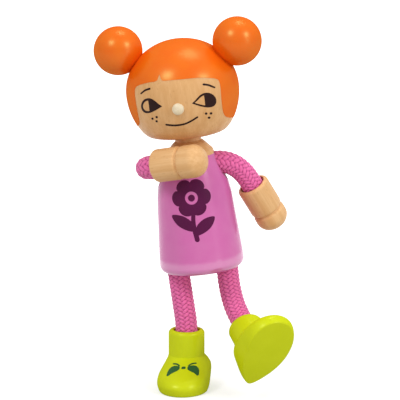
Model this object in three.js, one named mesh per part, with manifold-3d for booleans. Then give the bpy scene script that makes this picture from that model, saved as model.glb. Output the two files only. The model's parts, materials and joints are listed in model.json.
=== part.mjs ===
// Bendable wooden doll, about 95 mm tall to the tops of its hair buns. The head, body,
// hands and shoes are wood. The arms and legs are braided cord over a soft wire, pushed
// into drilled holes, and they stay where they are bent.
// Millimetres, +Z up, +Y away from the viewer. Left and right are the doll's own sides.
// The origin lies on the flat sole of the standing (right) shoe, under its collar.
import * as THREE from "three";
import { mergeVertices } from "three/addons/utils/BufferGeometryUtils.js";
import Module from "manifold-3d";

const wasm = await Module();
wasm.setup();

const DEG = Math.PI / 180;

// Clearances
const FIT_GAP = 0.3; // between a piece and the hole, seat or bore that holds it
const BEND_GAP = 0.4; // between the ball and the cup of each bend in a cord

// Head: a turned ball, flat below, with its widest ring a little under the middle
const HEAD_RADIUS = 14.3;
const HEAD_HEIGHT = 24.2;
const HEAD_WIDEST_HEIGHT = 11.2;
const HEAD_LOWER_CURVE = 15.3; // the depth that the lower curve would have without the flat
const HEAD_BASE_EDGE = 1.8; // rounding where the lower curve meets the flat
const HEAD_EDGE_FLAT = 2; // where the flat ends and the rounding is low, inwards from the
const HEAD_EDGE_LOW = 0.7; // rounding's upper end, as shares of the rounding's height
const HEAD_EDGE_LOW_HEIGHT = 0.25; // how high the rounding is there, as a share as well
const HEAD_TURN = -6.5; // degrees that the face looks towards the doll's right

// Hair buns: round balls on dowels, seated in shallow cups in the head
const BUN_RADIUS = 6.4;
const BUN_SPREAD = 14.95; // from the head's axis to a bun's centre
const BUN_HEIGHT = 22.3; // from the head's base to a bun's centre
const BUN_DOWEL_RADIUS = 1.25;
const BUN_DOWEL_IN_BUN = 4.0; // depth of the dowel hole below the bun's seat
const BUN_DOWEL_IN_HEAD = 4.5; // depth of the dowel hole below the head's cup

// Nose: a round-headed peg
const NOSE_RADIUS = 1.45;
const NOSE_DOME = 0.72; // height of its dome
const NOSE_HEIGHT = 8.65;
const NOSE_PROUD = 1.0; // how far the dome stands out of the face
const NOSE_DEPTH = 4.0; // length of the peg inside the face

// Body: a turned cone with round shoulders, a short neck and a shallow domed underside.
// The places on it are measured down from its top, so that they follow its height.
const BODY_HEIGHT = 34.45;
const BODY_HEM_RADIUS = 10.6;
const BODY_HEM_ROUND = 1.5; // rounding of the hem
const BODY_HEM_ROUND_END = 65; // degrees that the rounding turns before the underside
const BODY_UNDERSIDE_DEPTH = 0.8; // from the rounding's lower end down to the lowest point
const BODY_UNDERSIDE_POWER = 3; // the underside rises with this power of the radius
const BODY_UNDERSIDE_STEPS = [0, 0.35, 0.6, 0.82]; // where its outline is drawn, as shares
const BODY_CHEST_RADIUS = 9.35;
const BODY_COLLAR_RADIUS = 5.8;
const NECK_RADIUS = 3.3;
const NECK_HEIGHT = 1.3; // the straight part of the neck
const NECK_RISE = 2.5; // from the collar up to the straight part
const SHOULDER_RISE = 12.15; // from the chest up to the collar
const SHOULDER_START = { inwards: 0.1, up: 0.34 }; // how the shoulder curve leaves the chest
const SHOULDER_END = { outwards: 0.46, down: 0.29 }; // and how it comes to the collar
const COLLAR_BEVEL = 0.25; // bevel at the collar, as a share of the neck's rise
const NECK_DOWEL_RADIUS = 1.5;
const NECK_DOWEL_IN_BODY = 5.0;
const NECK_DOWEL_IN_HEAD = 6.0;

// Cord and its wire
const CORD_RADIUS = 2.95;
const WIRE_RADIUS = 0.6;
const ARM_PITCH = 3.1; // from one bend of an arm to the next
const RIGHT_LEG_PITCH = 4.4;
const LEFT_LEG_PITCH = 4.9; // this leg is drawn a little further out of the body

// Holes for the cords
const HOLE_MOUTH_EASE = 1.2; // width of the bevel round a hole in the body
const HOLE_CUTTER_PAST = 4; // how far a hole's cutter stands out of the body
const ARM_HOLE_DROP = 7.55; // from the body's top down to the middle of an arm's hole
const ARM_HOLE_DEPTH = 4.5;
const ARM_FIRST_BEND = 0.4; // from the body's surface to an arm's first bend
const LEG_HOLE_SPREAD = 6.15;
const LEG_HOLE_DEPTH = 8.0;
const LEG_FIRST_BEND = 0.7;

// Hands: turned, with a bored cuff, a groove at the wrist and a round tip
const HAND_RADIUS = 4.1;
const HAND_LENGTH = 14.1;
const HAND_RIM = 0.8; // rounding of the cuff's mouth
const HAND_GROOVE_PLACE = 7.2; // from the mouth
const HAND_GROOVE_WIDTH = 1.3;
const HAND_GROOVE_DEPTH = 0.55;
const HAND_HOLE_DEPTH = 5.5;
const HAND_REACH = 1.25; // from the last bend to the cuff's mouth

// Shoes: a turned collar on a carved foot. Each level of the foot is an outline measured
// from the collar's axis: how far it reaches to the toe, heel, inner and outer side.
const SHOE_HEIGHT = 14.4;
const SHOE_COLLAR_RADIUS = 4.5;
const SHOE_COLLAR_FOOT = 7.9; // height at which the collar leaves the foot
const SHOE_COLLAR_RIM = 1.0; // rounding of the collar's mouth
const SHOE_HOLE_DEPTH = 6.6;
const SHOE_REACH = 1.4; // from the last bend to the collar's mouth
const SHOE_WIDEST = { toe: 13.5, heel: 6.6, inner: 6.6, outer: 6.9 }; // just above the sole
// Heights are shares of the collar's foot, and reaches are shares of the widest ones.
const SHOE_LEVELS = [
  { height: 0, toe: 0.92, heel: 0.955, inner: 0.935, outer: 0.76 },
  { height: 0.11, toe: 0.98, heel: 0.99, inner: 0.985, outer: 0.92 },
  { height: 0.29, toe: 1, heel: 1, inner: 1, outer: 1 },
  { height: 0.48, toe: 0.905, heel: 0.985, inner: 0.99, outer: 0.96 },
  { height: 0.63, toe: 0.735, heel: 0.955, inner: 0.975, outer: 0.87 },
  { height: 0.76, toe: 0.57, heel: 0.91, inner: 0.93, outer: 0.78 },
  { height: 0.89, toe: 0.435, heel: 0.8, inner: 0.83, outer: 0.7 },
];
const SHOE_HEEL_LEAN = 2.4; // how far the heel's corner lies towards the inner side
const SHOE_BALL_SHARE = 0.9; // where the widest place lies, as a share of toe minus heel

// Pose in the photograph. Each bend of a limb turns it about the cord's own sideways and
// forward axes, in degrees, starting at the body. The standing leg carries the body's lean.
const RIGHT_ARM_BENDS = [[34.9, 9.1], [35.9, 9.2], [37.4, 9.3], [38.6, 9.4]];
const LEFT_ARM_BENDS = [[-9, 23.2], [-6.1, 21.5], [-2.8, 14.7], [-1.9, 4.8]];
const RIGHT_LEG_BENDS = [[0, 2.2], [0, 0], [0, 0], [0, -8.5]];
const LEFT_LEG_BENDS = [[-7.7, 0.6], [-7, 7.5], [-14.2, 12.6], [-29.4, 1]];
const RIGHT_TOE_OUT = 8;
const LEFT_TOE_OUT = 34.5;

// Smoothness
const ROUND_SIDES = 40;
const BALL_SIDES = 24;
const HAND_SIDES = 26;
const CORD_SIDES = 14;
const WIRE_SIDES = 8;
const SHOE_SIDES = 36;
const ARC_STEPS = 4;

// Sizes that follow from the ones above
const CORD_HOLE_RADIUS = CORD_RADIUS + FIT_GAP;
const WIRE_HOLE_RADIUS = WIRE_RADIUS + FIT_GAP;
const CUP_RADIUS = CORD_RADIUS + BEND_GAP;
const NECK_FOOT_HEIGHT = BODY_HEIGHT - NECK_HEIGHT;
const COLLAR_HEIGHT = NECK_FOOT_HEIGHT - NECK_RISE;
const CHEST_HEIGHT = COLLAR_HEIGHT - SHOULDER_RISE;
const ARM_HOLE_HEIGHT = BODY_HEIGHT - ARM_HOLE_DROP;
const UNDERSIDE_ANGLE = BODY_HEM_ROUND_END * DEG;
const UNDERSIDE_RADIUS = BODY_HEM_RADIUS - BODY_HEM_ROUND * (1 - Math.cos(UNDERSIDE_ANGLE));
const HEM_HEIGHT = BODY_UNDERSIDE_DEPTH + BODY_HEM_ROUND * Math.sin(UNDERSIDE_ANGLE);

// Paints and materials
const WOOD = { color: 0xe0b583, roughness: 0.55, metalness: 0 };
const NOSE_WOOD = { color: 0xf0dcb4, roughness: 0.5, metalness: 0 };
const HAIR_PAINT = { color: 0xf26a12, roughness: 0.3, metalness: 0 };
const DRESS_PAINT = { color: 0xcf62a8, roughness: 0.3, metalness: 0 };
const SHOE_PAINT = { color: 0xb4c81e, roughness: 0.3, metalness: 0 };
const CORD_YARN = { color: 0xd9498f, roughness: 0.9, metalness: 0 };
const STEEL_WIRE = { color: 0xb8b8b8, roughness: 0.4, metalness: 1 };

function point(radius, height) {
  return new THREE.Vector2(radius, height);
}

// Points of an elliptical arc about a centre, from one angle to another in degrees.
function arc(centre, radiusAcross, radiusAlong, from, to, steps) {
  const points = [];
  for (let step = 0; step <= steps; step += 1) {
    const angle = (from + ((to - from) * step) / steps) * DEG;
    const across = centre.x + radiusAcross * Math.cos(angle);
    points.push(point(Math.max(across, 0), centre.y + radiusAlong * Math.sin(angle)));
  }
  return points;
}

// A solid of revolution about Z. The profile is (radius, height) from bottom to top.
function turned(profile, sides) {
  const geometry = new THREE.LatheGeometry(profile, sides);
  geometry.rotateX(Math.PI / 2);
  return geometry;
}

// A ring of revolution about Z: a profile that never meets the axis and closes on itself.
function turnedRing(profile, sides) {
  return turned([...profile, profile[0].clone()], sides);
}

function cylinder(radius, bottom, top, sides) {
  return turned([point(0, bottom), point(radius, bottom), point(radius, top), point(0, top)], sides);
}

// Closed triangles for the solid library: shared corners are merged, slivers are dropped.
function toSolid(geometry) {
  const bare = new THREE.BufferGeometry();
  bare.setAttribute("position", geometry.getAttribute("position").clone());
  bare.setIndex(geometry.getIndex());
  const welded = mergeVertices(bare, 1e-4);
  const corners = welded.getIndex().array;
  const kept = [];
  for (let i = 0; i < corners.length; i += 3) {
    const [a, b, c] = corners.slice(i, i + 3);
    if (a !== b && b !== c && c !== a) kept.push(a, b, c);
  }
  return new wasm.Manifold(
    new wasm.Mesh({
      numProp: 3,
      vertProperties: new Float32Array(welded.getAttribute("position").array),
      triVerts: new Uint32Array(kept),
    }),
  );
}

function toGeometry(solid) {
  const { vertProperties, triVerts } = solid.getMesh();
  const geometry = new THREE.BufferGeometry();
  geometry.setAttribute("position", new THREE.BufferAttribute(new Float32Array(vertProperties), 3));
  geometry.setIndex(new THREE.BufferAttribute(new Uint32Array(triVerts), 1));
  geometry.computeVertexNormals();
  return geometry;
}

// The blank with every cutter taken out of it.
function carved(blank, cutters) {
  const solid = cutters.reduce((rest, cutter) => rest.subtract(toSolid(cutter)), toSolid(blank));
  return toGeometry(solid);
}

// Turns a cutter made along +Z to point along a direction from a start point.
function aimed(geometry, start, direction) {
  const turn = new THREE.Quaternion().setFromUnitVectors(new THREE.Vector3(0, 0, 1), direction);
  geometry.applyQuaternion(turn);
  geometry.translate(start.x, start.y, start.z);
  return geometry;
}

function named(name, geometry, paint) {
  const mesh = new THREE.Mesh(geometry, new THREE.MeshStandardMaterial(paint));
  mesh.name = name;
  return mesh;
}

// Head

function headRadiusAt(height) {
  const above = height > HEAD_WIDEST_HEIGHT;
  const reach = above ? HEAD_HEIGHT - HEAD_WIDEST_HEIGHT : HEAD_LOWER_CURVE;
  return HEAD_RADIUS * Math.sqrt(1 - ((height - HEAD_WIDEST_HEIGHT) / reach) ** 2);
}

function headProfile() {
  const middle = point(0, HEAD_WIDEST_HEIGHT);
  const edgeAngle = -Math.asin((HEAD_WIDEST_HEIGHT - HEAD_BASE_EDGE) / HEAD_LOWER_CURVE) / DEG;
  const edge = headRadiusAt(HEAD_BASE_EDGE);
  return [
    point(0, 0),
    point(edge - HEAD_EDGE_FLAT * HEAD_BASE_EDGE, 0),
    point(edge - HEAD_EDGE_LOW * HEAD_BASE_EDGE, HEAD_EDGE_LOW_HEIGHT * HEAD_BASE_EDGE),
    ...arc(middle, HEAD_RADIUS, HEAD_LOWER_CURVE, edgeAngle, 0, 6),
    ...arc(middle, HEAD_RADIUS, HEAD_HEIGHT - HEAD_WIDEST_HEIGHT, 0, 90, 9).slice(1),
  ];
}

// The line from a bun's centre towards the head, where its dowel lies.
function bunSeat(side) {
  const centre = new THREE.Vector3(side * BUN_SPREAD, 0, BUN_HEIGHT);
  const inward = new THREE.Vector3(0, 0, HEAD_WIDEST_HEIGHT).sub(centre).normalize();
  return { centre, inward };
}

function headGeometry() {
  const cutters = [cylinder(NECK_DOWEL_RADIUS + FIT_GAP, -FIT_GAP, NECK_DOWEL_IN_HEAD, BALL_SIDES)];
  for (const side of [-1, 1]) {
    const { centre, inward } = bunSeat(side);
    const cup = new THREE.SphereGeometry(BUN_RADIUS + FIT_GAP, BALL_SIDES, BALL_SIDES / 2);
    cup.translate(centre.x, centre.y, centre.z);
    const depth = BUN_RADIUS + BUN_DOWEL_IN_HEAD;
    const hole = cylinder(BUN_DOWEL_RADIUS + FIT_GAP, 0, depth, WIRE_SIDES * 2);
    cutters.push(cup, aimed(hole, centre, inward));
  }
  const noseHole = cylinder(NOSE_RADIUS + FIT_GAP, 0, HEAD_RADIUS, WIRE_SIDES * 2);
  const noseFloor = headRadiusAt(NOSE_HEIGHT) - NOSE_DEPTH - FIT_GAP;
  const start = new THREE.Vector3(0, -noseFloor, NOSE_HEIGHT);
  cutters.push(aimed(noseHole, start, new THREE.Vector3(0, -1, 0)));
  return carved(turned(headProfile(), ROUND_SIDES), cutters);
}

function noseMesh() {
  const face = headRadiusAt(NOSE_HEIGHT);
  const shoulder = face + NOSE_PROUD - NOSE_DOME;
  const profile = [
    point(0, face - NOSE_DEPTH),
    point(NOSE_RADIUS, face - NOSE_DEPTH),
    ...arc(point(0, shoulder), NOSE_RADIUS, NOSE_DOME, 0, 90, ARC_STEPS),
  ];
  const geometry = turned(profile, WIRE_SIDES * 2);
  const nose = named("nose", geometry, NOSE_WOOD);
  nose.rotation.x = Math.PI / 2;
  nose.position.z = NOSE_HEIGHT;
  return nose;
}

// A ball with a dowel hole, and the dowel that pins it to the head.
function bunMeshes(name, side) {
  const { centre, inward } = bunSeat(side);
  const profile = arc(point(0, 0), BUN_RADIUS, BUN_RADIUS, -90, 90, BALL_SIDES / 2);
  const holeStart = BUN_RADIUS - BUN_DOWEL_IN_BUN;
  const hole = cylinder(BUN_DOWEL_RADIUS + FIT_GAP, holeStart, 2 * BUN_RADIUS, WIRE_SIDES * 2);
  const ball = named(`${name}_bun`, carved(turned(profile, BALL_SIDES), [hole]), HAIR_PAINT);
  const dowelEnd = BUN_RADIUS + BUN_DOWEL_IN_HEAD - FIT_GAP;
  const dowelShape = cylinder(BUN_DOWEL_RADIUS, holeStart + FIT_GAP, dowelEnd, WIRE_SIDES * 2);
  const dowel = named(`${name}_bun_dowel`, dowelShape, WOOD);
  const place = new THREE.Group();
  place.position.copy(centre);
  place.quaternion.setFromUnitVectors(new THREE.Vector3(0, 0, 1), inward);
  place.add(ball, dowel);
  return place;
}

function headAssembly() {
  const head = new THREE.Group();
  head.name = "head_turn";
  head.position.z = BODY_HEIGHT + FIT_GAP;
  head.rotation.z = HEAD_TURN * DEG;
  head.add(named("head", headGeometry(), HAIR_PAINT), noseMesh());
  head.add(bunMeshes("right", -1), bunMeshes("left", 1));
  return head;
}

// Body

// Height of the underside above the body's lowest point, at a radius inside the hem.
function undersideHeight(radius) {
  return BODY_UNDERSIDE_DEPTH * (radius / UNDERSIDE_RADIUS) ** BODY_UNDERSIDE_POWER;
}

function bodyProfile() {
  const underside = BODY_UNDERSIDE_STEPS.map((share) => {
    const radius = share * UNDERSIDE_RADIUS;
    return point(radius, undersideHeight(radius));
  });
  const hemCentre = point(BODY_HEM_RADIUS - BODY_HEM_ROUND, HEM_HEIGHT);
  const hem = arc(hemCentre, BODY_HEM_ROUND, BODY_HEM_ROUND, -BODY_HEM_ROUND_END, 0, ARC_STEPS - 1);
  const shoulderIn = BODY_CHEST_RADIUS - BODY_COLLAR_RADIUS;
  const shoulder = new THREE.CubicBezierCurve(
    point(BODY_CHEST_RADIUS, CHEST_HEIGHT),
    point(
      BODY_CHEST_RADIUS - SHOULDER_START.inwards * shoulderIn,
      CHEST_HEIGHT + SHOULDER_START.up * SHOULDER_RISE,
    ),
    point(
      BODY_COLLAR_RADIUS + SHOULDER_END.outwards * shoulderIn,
      COLLAR_HEIGHT - SHOULDER_END.down * SHOULDER_RISE,
    ),
    point(BODY_COLLAR_RADIUS, COLLAR_HEIGHT),
  );
  const bevel = COLLAR_BEVEL * NECK_RISE;
  return [
    ...underside,
    ...hem,
    ...shoulder.getPoints(6),
    point(BODY_COLLAR_RADIUS - bevel, COLLAR_HEIGHT + bevel),
    point(NECK_RADIUS, NECK_FOOT_HEIGHT),
    point(NECK_RADIUS, BODY_HEIGHT),
    point(0, BODY_HEIGHT),
  ];
}

function bodySurfaceRadius(height) {
  const profile = bodyProfile();
  for (let i = 1; i < profile.length; i += 1) {
    const [low, high] = [profile[i - 1], profile[i]];
    if (high.y > low.y && height >= low.y && height <= high.y) {
      return low.x + ((high.x - low.x) * (height - low.y)) / (high.y - low.y);
    }
  }
  return 0;
}

// A cord hole with an eased mouth. Height 0 is the body's surface, and +Z leads outwards.
function cordHole(depth) {
  const mouth = CORD_HOLE_RADIUS + HOLE_MOUTH_EASE;
  return turned(
    [
      point(0, -depth),
      point(CORD_HOLE_RADIUS, -depth),
      point(CORD_HOLE_RADIUS, -HOLE_MOUTH_EASE),
      point(mouth + HOLE_CUTTER_PAST, HOLE_CUTTER_PAST),
      point(0, HOLE_CUTTER_PAST),
    ],
    BALL_SIDES,
  );
}

// Where each cord leaves the body, and which way its hole points.
const ARM_EXIT = { x: bodySurfaceRadius(ARM_HOLE_HEIGHT), z: ARM_HOLE_HEIGHT, depth: ARM_HOLE_DEPTH };
const LEG_EXIT = { x: LEG_HOLE_SPREAD, z: undersideHeight(LEG_HOLE_SPREAD), depth: LEG_HOLE_DEPTH };
const EXITS = {
  right_arm: { ...ARM_EXIT, x: -ARM_EXIT.x, turn: [0, -90, 0] },
  left_arm: { ...ARM_EXIT, turn: [0, 90, 0] },
  right_leg: { ...LEG_EXIT, x: -LEG_EXIT.x, turn: [180, 0, 0] },
  left_leg: { ...LEG_EXIT, turn: [180, 0, 0] },
};

function exitGroup(exit) {
  const group = new THREE.Group();
  group.position.set(exit.x, 0, exit.z);
  group.rotation.set(...exit.turn.map((angle) => angle * DEG));
  return group;
}

function bodyGeometry() {
  const neckHole = cylinder(
    NECK_DOWEL_RADIUS + FIT_GAP,
    BODY_HEIGHT - NECK_DOWEL_IN_BODY,
    BODY_HEIGHT + FIT_GAP,
    BALL_SIDES,
  );
  const cordHoles = Object.values(EXITS).map((exit) => {
    const place = exitGroup(exit);
    place.updateMatrix();
    return cordHole(exit.depth).applyMatrix4(place.matrix);
  });
  return carved(turned(bodyProfile(), ROUND_SIDES), [neckHole, ...cordHoles]);
}

function neckDowel() {
  const bottom = BODY_HEIGHT - NECK_DOWEL_IN_BODY + FIT_GAP;
  const top = BODY_HEIGHT + NECK_DOWEL_IN_HEAD;
  return named("neck_dowel", cylinder(NECK_DOWEL_RADIUS, bottom, top, BALL_SIDES), WOOD);
}

// Cord and wire. Each limb is one cord and one wire on the real doll. Here both are cut at
// four bends. A bend is a ball on the stretch before it and a cup in the stretch after it,
// and both are centred on the point about which the limb turns.

function ballEnd(centre) {
  const wireAngle = Math.acos(WIRE_HOLE_RADIUS / CORD_RADIUS) / DEG;
  return arc(point(0, centre), CORD_RADIUS, CORD_RADIUS, 0, wireAngle, ARC_STEPS);
}

function cupEnd() {
  const wireAngle = Math.acos(WIRE_HOLE_RADIUS / CUP_RADIUS) / DEG;
  const rimAngle = Math.acos(CORD_RADIUS / CUP_RADIUS) / DEG;
  return arc(point(0, 0), CUP_RADIUS, CUP_RADIUS, wireAngle, rimAngle, ARC_STEPS - 1);
}

function flatEnd(height, outwards) {
  const ring = [point(WIRE_HOLE_RADIUS, height), point(CORD_RADIUS, height)];
  return outwards ? ring : ring.reverse();
}

// A stretch of cord and the wire in it, along +Z. Start and end are "flat" or a bend.
function stretchMeshes(limbName, part, start, end) {
  const first = start.bend ? cupEnd() : flatEnd(start.at, true);
  const last = end.bend ? ballEnd(end.at) : flatEnd(end.at, false);
  const cord = turnedRing([...first, ...last], CORD_SIDES);
  const wireStart = start.bend ? CUP_RADIUS : start.at;
  const wireEnd = end.bend ? end.at + Math.sqrt(CORD_RADIUS ** 2 - WIRE_HOLE_RADIUS ** 2) : end.at;
  const wire = cylinder(WIRE_RADIUS, wireStart, wireEnd, WIRE_SIDES);
  return [
    named(`${limbName}_cord_${part}`, cord, CORD_YARN),
    named(`${limbName}_wire_${part}`, wire, STEEL_WIRE),
  ];
}

// A limb from its hole in the body out to its hand or shoe. Each pivot group is named for
// the movement that happens there, and its rotation is the bend that the limb rests in.
function limb(plan) {
  const root = exitGroup(EXITS[plan.name]);
  const depth = EXITS[plan.name].depth - FIT_GAP;
  root.add(...stretchMeshes(plan.name, plan.parts[0], { at: -depth }, { bend: true, at: plan.firstBend }));
  let parent = root;
  plan.movements.forEach((movement, index) => {
    const pivot = new THREE.Group();
    pivot.name = movement;
    pivot.position.z = index === 0 ? plan.firstBend : plan.pitch;
    const bend = new THREE.Vector3(...plan.bends[index], 0).multiplyScalar(DEG);
    pivot.quaternion.setFromAxisAngle(bend.clone().normalize(), bend.length());
    const last = index === plan.movements.length - 1;
    const end = last ? { at: plan.endReach + plan.endHole - FIT_GAP } : { bend: true, at: plan.pitch };
    pivot.add(...stretchMeshes(plan.name, plan.parts[index + 1], { bend: true }, end));
    parent.add(pivot);
    parent = pivot;
  });
  parent.add(plan.endPiece);
  return root;
}

const ARM_PARTS = ["shoulder", "upper", "elbow", "lower", "wrist"];
const LEG_PARTS = ["hip", "thigh", "knee", "shin", "ankle"];

function arm(side, bends) {
  const movements = ["shoulder_swing", "shoulder_lift", "elbow_bend", "wrist_bend"];
  return limb({
    name: `${side}_arm`,
    parts: ARM_PARTS,
    movements: movements.map((movement) => `${side}_${movement}`),
    pitch: ARM_PITCH,
    firstBend: ARM_FIRST_BEND,
    bends,
    endReach: HAND_REACH,
    endHole: HAND_HOLE_DEPTH,
    endPiece: handMesh(`${side}_hand`),
  });
}

function leg(side, pitch, bends, toeOut) {
  const movements = ["hip_swing", "hip_spread", "knee_bend", "ankle_bend"];
  return limb({
    name: `${side}_leg`,
    parts: LEG_PARTS,
    movements: movements.map((movement) => `${side}_${movement}`),
    pitch,
    firstBend: LEG_FIRST_BEND,
    bends,
    endReach: SHOE_REACH,
    endHole: SHOE_HOLE_DEPTH,
    endPiece: shoeMesh(side, toeOut),
  });
}

// Hand, along +Z from the mouth of its cuff to its tip.
function handMesh(name) {
  const rimStart = CORD_HOLE_RADIUS + (HAND_RADIUS - CORD_HOLE_RADIUS - HAND_RIM) / 2;
  const halfGroove = HAND_GROOVE_WIDTH / 2;
  const tipCentre = HAND_LENGTH - HAND_RADIUS;
  const rim = arc(point(HAND_RADIUS - HAND_RIM, HAND_RIM), HAND_RIM, HAND_RIM, -90, 0, ARC_STEPS);
  const profile = [
    point(0, HAND_HOLE_DEPTH),
    point(CORD_HOLE_RADIUS, HAND_HOLE_DEPTH),
    point(CORD_HOLE_RADIUS, rimStart - CORD_HOLE_RADIUS),
    point(rimStart, 0),
    ...rim,
    point(HAND_RADIUS, HAND_GROOVE_PLACE - halfGroove),
    point(HAND_RADIUS - HAND_GROOVE_DEPTH, HAND_GROOVE_PLACE),
    point(HAND_RADIUS, HAND_GROOVE_PLACE + halfGroove),
    ...arc(point(0, tipCentre), HAND_RADIUS, HAND_RADIUS, 0, 90, 2 * ARC_STEPS),
  ];
  const hand = named(name, turned(profile, HAND_SIDES), WOOD);
  hand.position.z = HAND_REACH;
  return hand;
}

// Shoe, +Z up from the sole, toe towards -Y. Side 1 puts the inner side at +X.

// The outline's reaches at one level of the foot.
function footLevel(shares) {
  const level = { height: shares.height * SHOE_COLLAR_FOOT };
  for (const [reach, widest] of Object.entries(SHOE_WIDEST)) {
    level[reach] = shares[reach] * widest;
  }
  return level;
}

// One level of the foot: round at the toe, drawn to a corner at the heel, with the corner
// on the inner side.
function footRing(level, side) {
  const { height, toe, heel, inner, outer } = level;
  const ball = SHOE_BALL_SHARE * (toe - heel);
  const lean = (SHOE_HEEL_LEAN * (toe - heel)) / (SHOE_WIDEST.toe - SHOE_WIDEST.heel);
  const ring = [];
  for (let step = 0; step < SHOE_SIDES; step += 1) {
    const angle = (2 * Math.PI * step) / SHOE_SIDES;
    const forward = Math.cos(angle);
    const inwards = Math.sin(angle);
    const behind = Math.max(-forward, 0);
    const reach = ball + forward * (forward > 0 ? toe - ball : heel + ball);
    const across = inwards * (inwards > 0 ? inner : outer) + lean * behind ** 2;
    ring.push(new THREE.Vector3(side * across, -reach, height));
  }
  return ring;
}

function roundRing(radius, height, side) {
  const level = { height, toe: radius, heel: radius, inner: radius, outer: radius };
  return footRing(level, side);
}

// Joins rings of equal count into one closed skin, capped at both ends.
function skinned(rings, side) {
  const count = rings[0].length;
  const corners = rings.flat();
  const faces = [];
  const quad = (a, b, c, d) => faces.push(a, b, c, a, c, d);
  for (let ring = 0; ring + 1 < rings.length; ring += 1) {
    for (let step = 0; step < count; step += 1) {
      const next = (step + 1) % count;
      const low = ring * count;
      const high = low + count;
      quad(low + step, low + next, high + next, high + step);
    }
  }
  const lastRing = (rings.length - 1) * count;
  const bottom = corners.push(new THREE.Vector3(0, 0, rings[0][0].z)) - 1;
  const top = corners.push(new THREE.Vector3(0, 0, rings[rings.length - 1][0].z)) - 1;
  for (let step = 0; step < count; step += 1) {
    const next = (step + 1) % count;
    faces.push(bottom, next, step, top, lastRing + step, lastRing + next);
  }
  if (side < 0) faces.reverse();
  const geometry = new THREE.BufferGeometry().setFromPoints(corners);
  geometry.setIndex(faces);
  geometry.computeVertexNormals();
  return geometry;
}

function shoeGeometry(side) {
  const rimStart = (SHOE_COLLAR_RADIUS - SHOE_COLLAR_RIM + CORD_HOLE_RADIUS) / 2;
  const rimEase = rimStart - CORD_HOLE_RADIUS;
  const rimCentre = point(SHOE_COLLAR_RADIUS - SHOE_COLLAR_RIM, SHOE_HEIGHT - SHOE_COLLAR_RIM);
  const rim = arc(rimCentre, SHOE_COLLAR_RIM, SHOE_COLLAR_RIM, 0, 90, ARC_STEPS);
  const holeFloor = SHOE_HEIGHT - SHOE_HOLE_DEPTH;
  const collar = [
    point(SHOE_COLLAR_RADIUS, SHOE_COLLAR_FOOT),
    ...rim,
    point(rimStart, SHOE_HEIGHT),
    point(CORD_HOLE_RADIUS, SHOE_HEIGHT - rimEase),
    point(CORD_HOLE_RADIUS, holeFloor),
  ];
  const foot = SHOE_LEVELS.map((level) => footRing(footLevel(level), side));
  return skinned([...foot, ...collar.map(({ x, y }) => roundRing(x, y, side))], side);
}

function shoeMesh(sideName, toeOut) {
  const side = sideName === "right" ? 1 : -1;
  const shoe = named(`${sideName}_shoe`, shoeGeometry(side), SHOE_PAINT);
  shoe.rotation.set(Math.PI, 0, -side * toeOut * DEG);
  shoe.position.z = SHOE_REACH + SHOE_HEIGHT;
  return shoe;
}

// The whole doll, built about its body and then stood on the sole of its right shoe.

function dollAboutBody() {
  const doll = new THREE.Group();
  doll.add(named("torso", bodyGeometry(), DRESS_PAINT), neckDowel(), headAssembly());
  doll.add(arm("right", RIGHT_ARM_BENDS), arm("left", LEFT_ARM_BENDS));
  doll.add(leg("right", RIGHT_LEG_PITCH, RIGHT_LEG_BENDS, RIGHT_TOE_OUT));
  doll.add(leg("left", LEFT_LEG_PITCH, LEFT_LEG_BENDS, LEFT_TOE_OUT));
  return doll;
}

// Moves the doll so that the standing shoe's sole is level, with its collar's axis on Z.
function stoodOnSole(doll) {
  doll.updateMatrixWorld(true);
  const ankle = doll.getObjectByName("right_ankle_bend").matrixWorld;
  const soleInAnkle = new THREE.Matrix4().makeRotationX(Math.PI);
  soleInAnkle.setPosition(0, 0, SHOE_REACH + SHOE_HEIGHT);
  const sole = new THREE.Matrix4().multiplyMatrices(ankle, soleInAnkle);
  doll.applyMatrix4(sole.invert());
  doll.updateMatrixWorld(true);
  return doll;
}

export default stoodOnSole(dollAboutBody());
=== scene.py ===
# %% [markdown]
# # A bendable wooden doll
# The doll has a turned wooden head, body and hands, carved wooden shoes, and arms and legs
# of braided cord with a soft wire inside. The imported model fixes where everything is. This
# script dresses it: each visible part is modelled again with a fine surface, its paint,
# grain or braid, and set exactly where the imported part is.

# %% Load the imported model
import json
import math

import bpy
import numpy as np
from mathutils import Matrix, Vector
from mathutils.bvhtree import BVHTree
from mathutils.geometry import delaunay_2d_cdt

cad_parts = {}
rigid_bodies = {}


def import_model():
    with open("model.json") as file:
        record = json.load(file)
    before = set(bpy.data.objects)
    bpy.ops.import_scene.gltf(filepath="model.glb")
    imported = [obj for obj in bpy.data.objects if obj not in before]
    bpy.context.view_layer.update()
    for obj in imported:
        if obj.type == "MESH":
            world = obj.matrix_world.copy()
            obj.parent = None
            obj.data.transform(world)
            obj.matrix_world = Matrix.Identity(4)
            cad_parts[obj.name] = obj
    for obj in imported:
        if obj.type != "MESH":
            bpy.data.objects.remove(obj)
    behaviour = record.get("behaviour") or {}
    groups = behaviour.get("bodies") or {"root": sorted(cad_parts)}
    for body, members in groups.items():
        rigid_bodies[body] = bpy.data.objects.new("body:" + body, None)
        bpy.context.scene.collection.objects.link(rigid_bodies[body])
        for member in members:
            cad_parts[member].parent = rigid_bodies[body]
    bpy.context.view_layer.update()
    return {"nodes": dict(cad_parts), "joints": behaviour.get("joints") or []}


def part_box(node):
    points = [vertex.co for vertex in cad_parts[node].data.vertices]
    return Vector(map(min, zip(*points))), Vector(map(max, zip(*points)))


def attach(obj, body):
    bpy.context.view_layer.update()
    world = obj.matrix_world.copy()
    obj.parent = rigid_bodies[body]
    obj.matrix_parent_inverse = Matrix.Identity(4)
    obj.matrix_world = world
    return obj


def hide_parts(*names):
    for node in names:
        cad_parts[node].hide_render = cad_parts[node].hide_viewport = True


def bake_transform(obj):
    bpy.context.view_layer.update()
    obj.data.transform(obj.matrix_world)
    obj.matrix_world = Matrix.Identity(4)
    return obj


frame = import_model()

MM = 0.001  # Blender counts in metres

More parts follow.
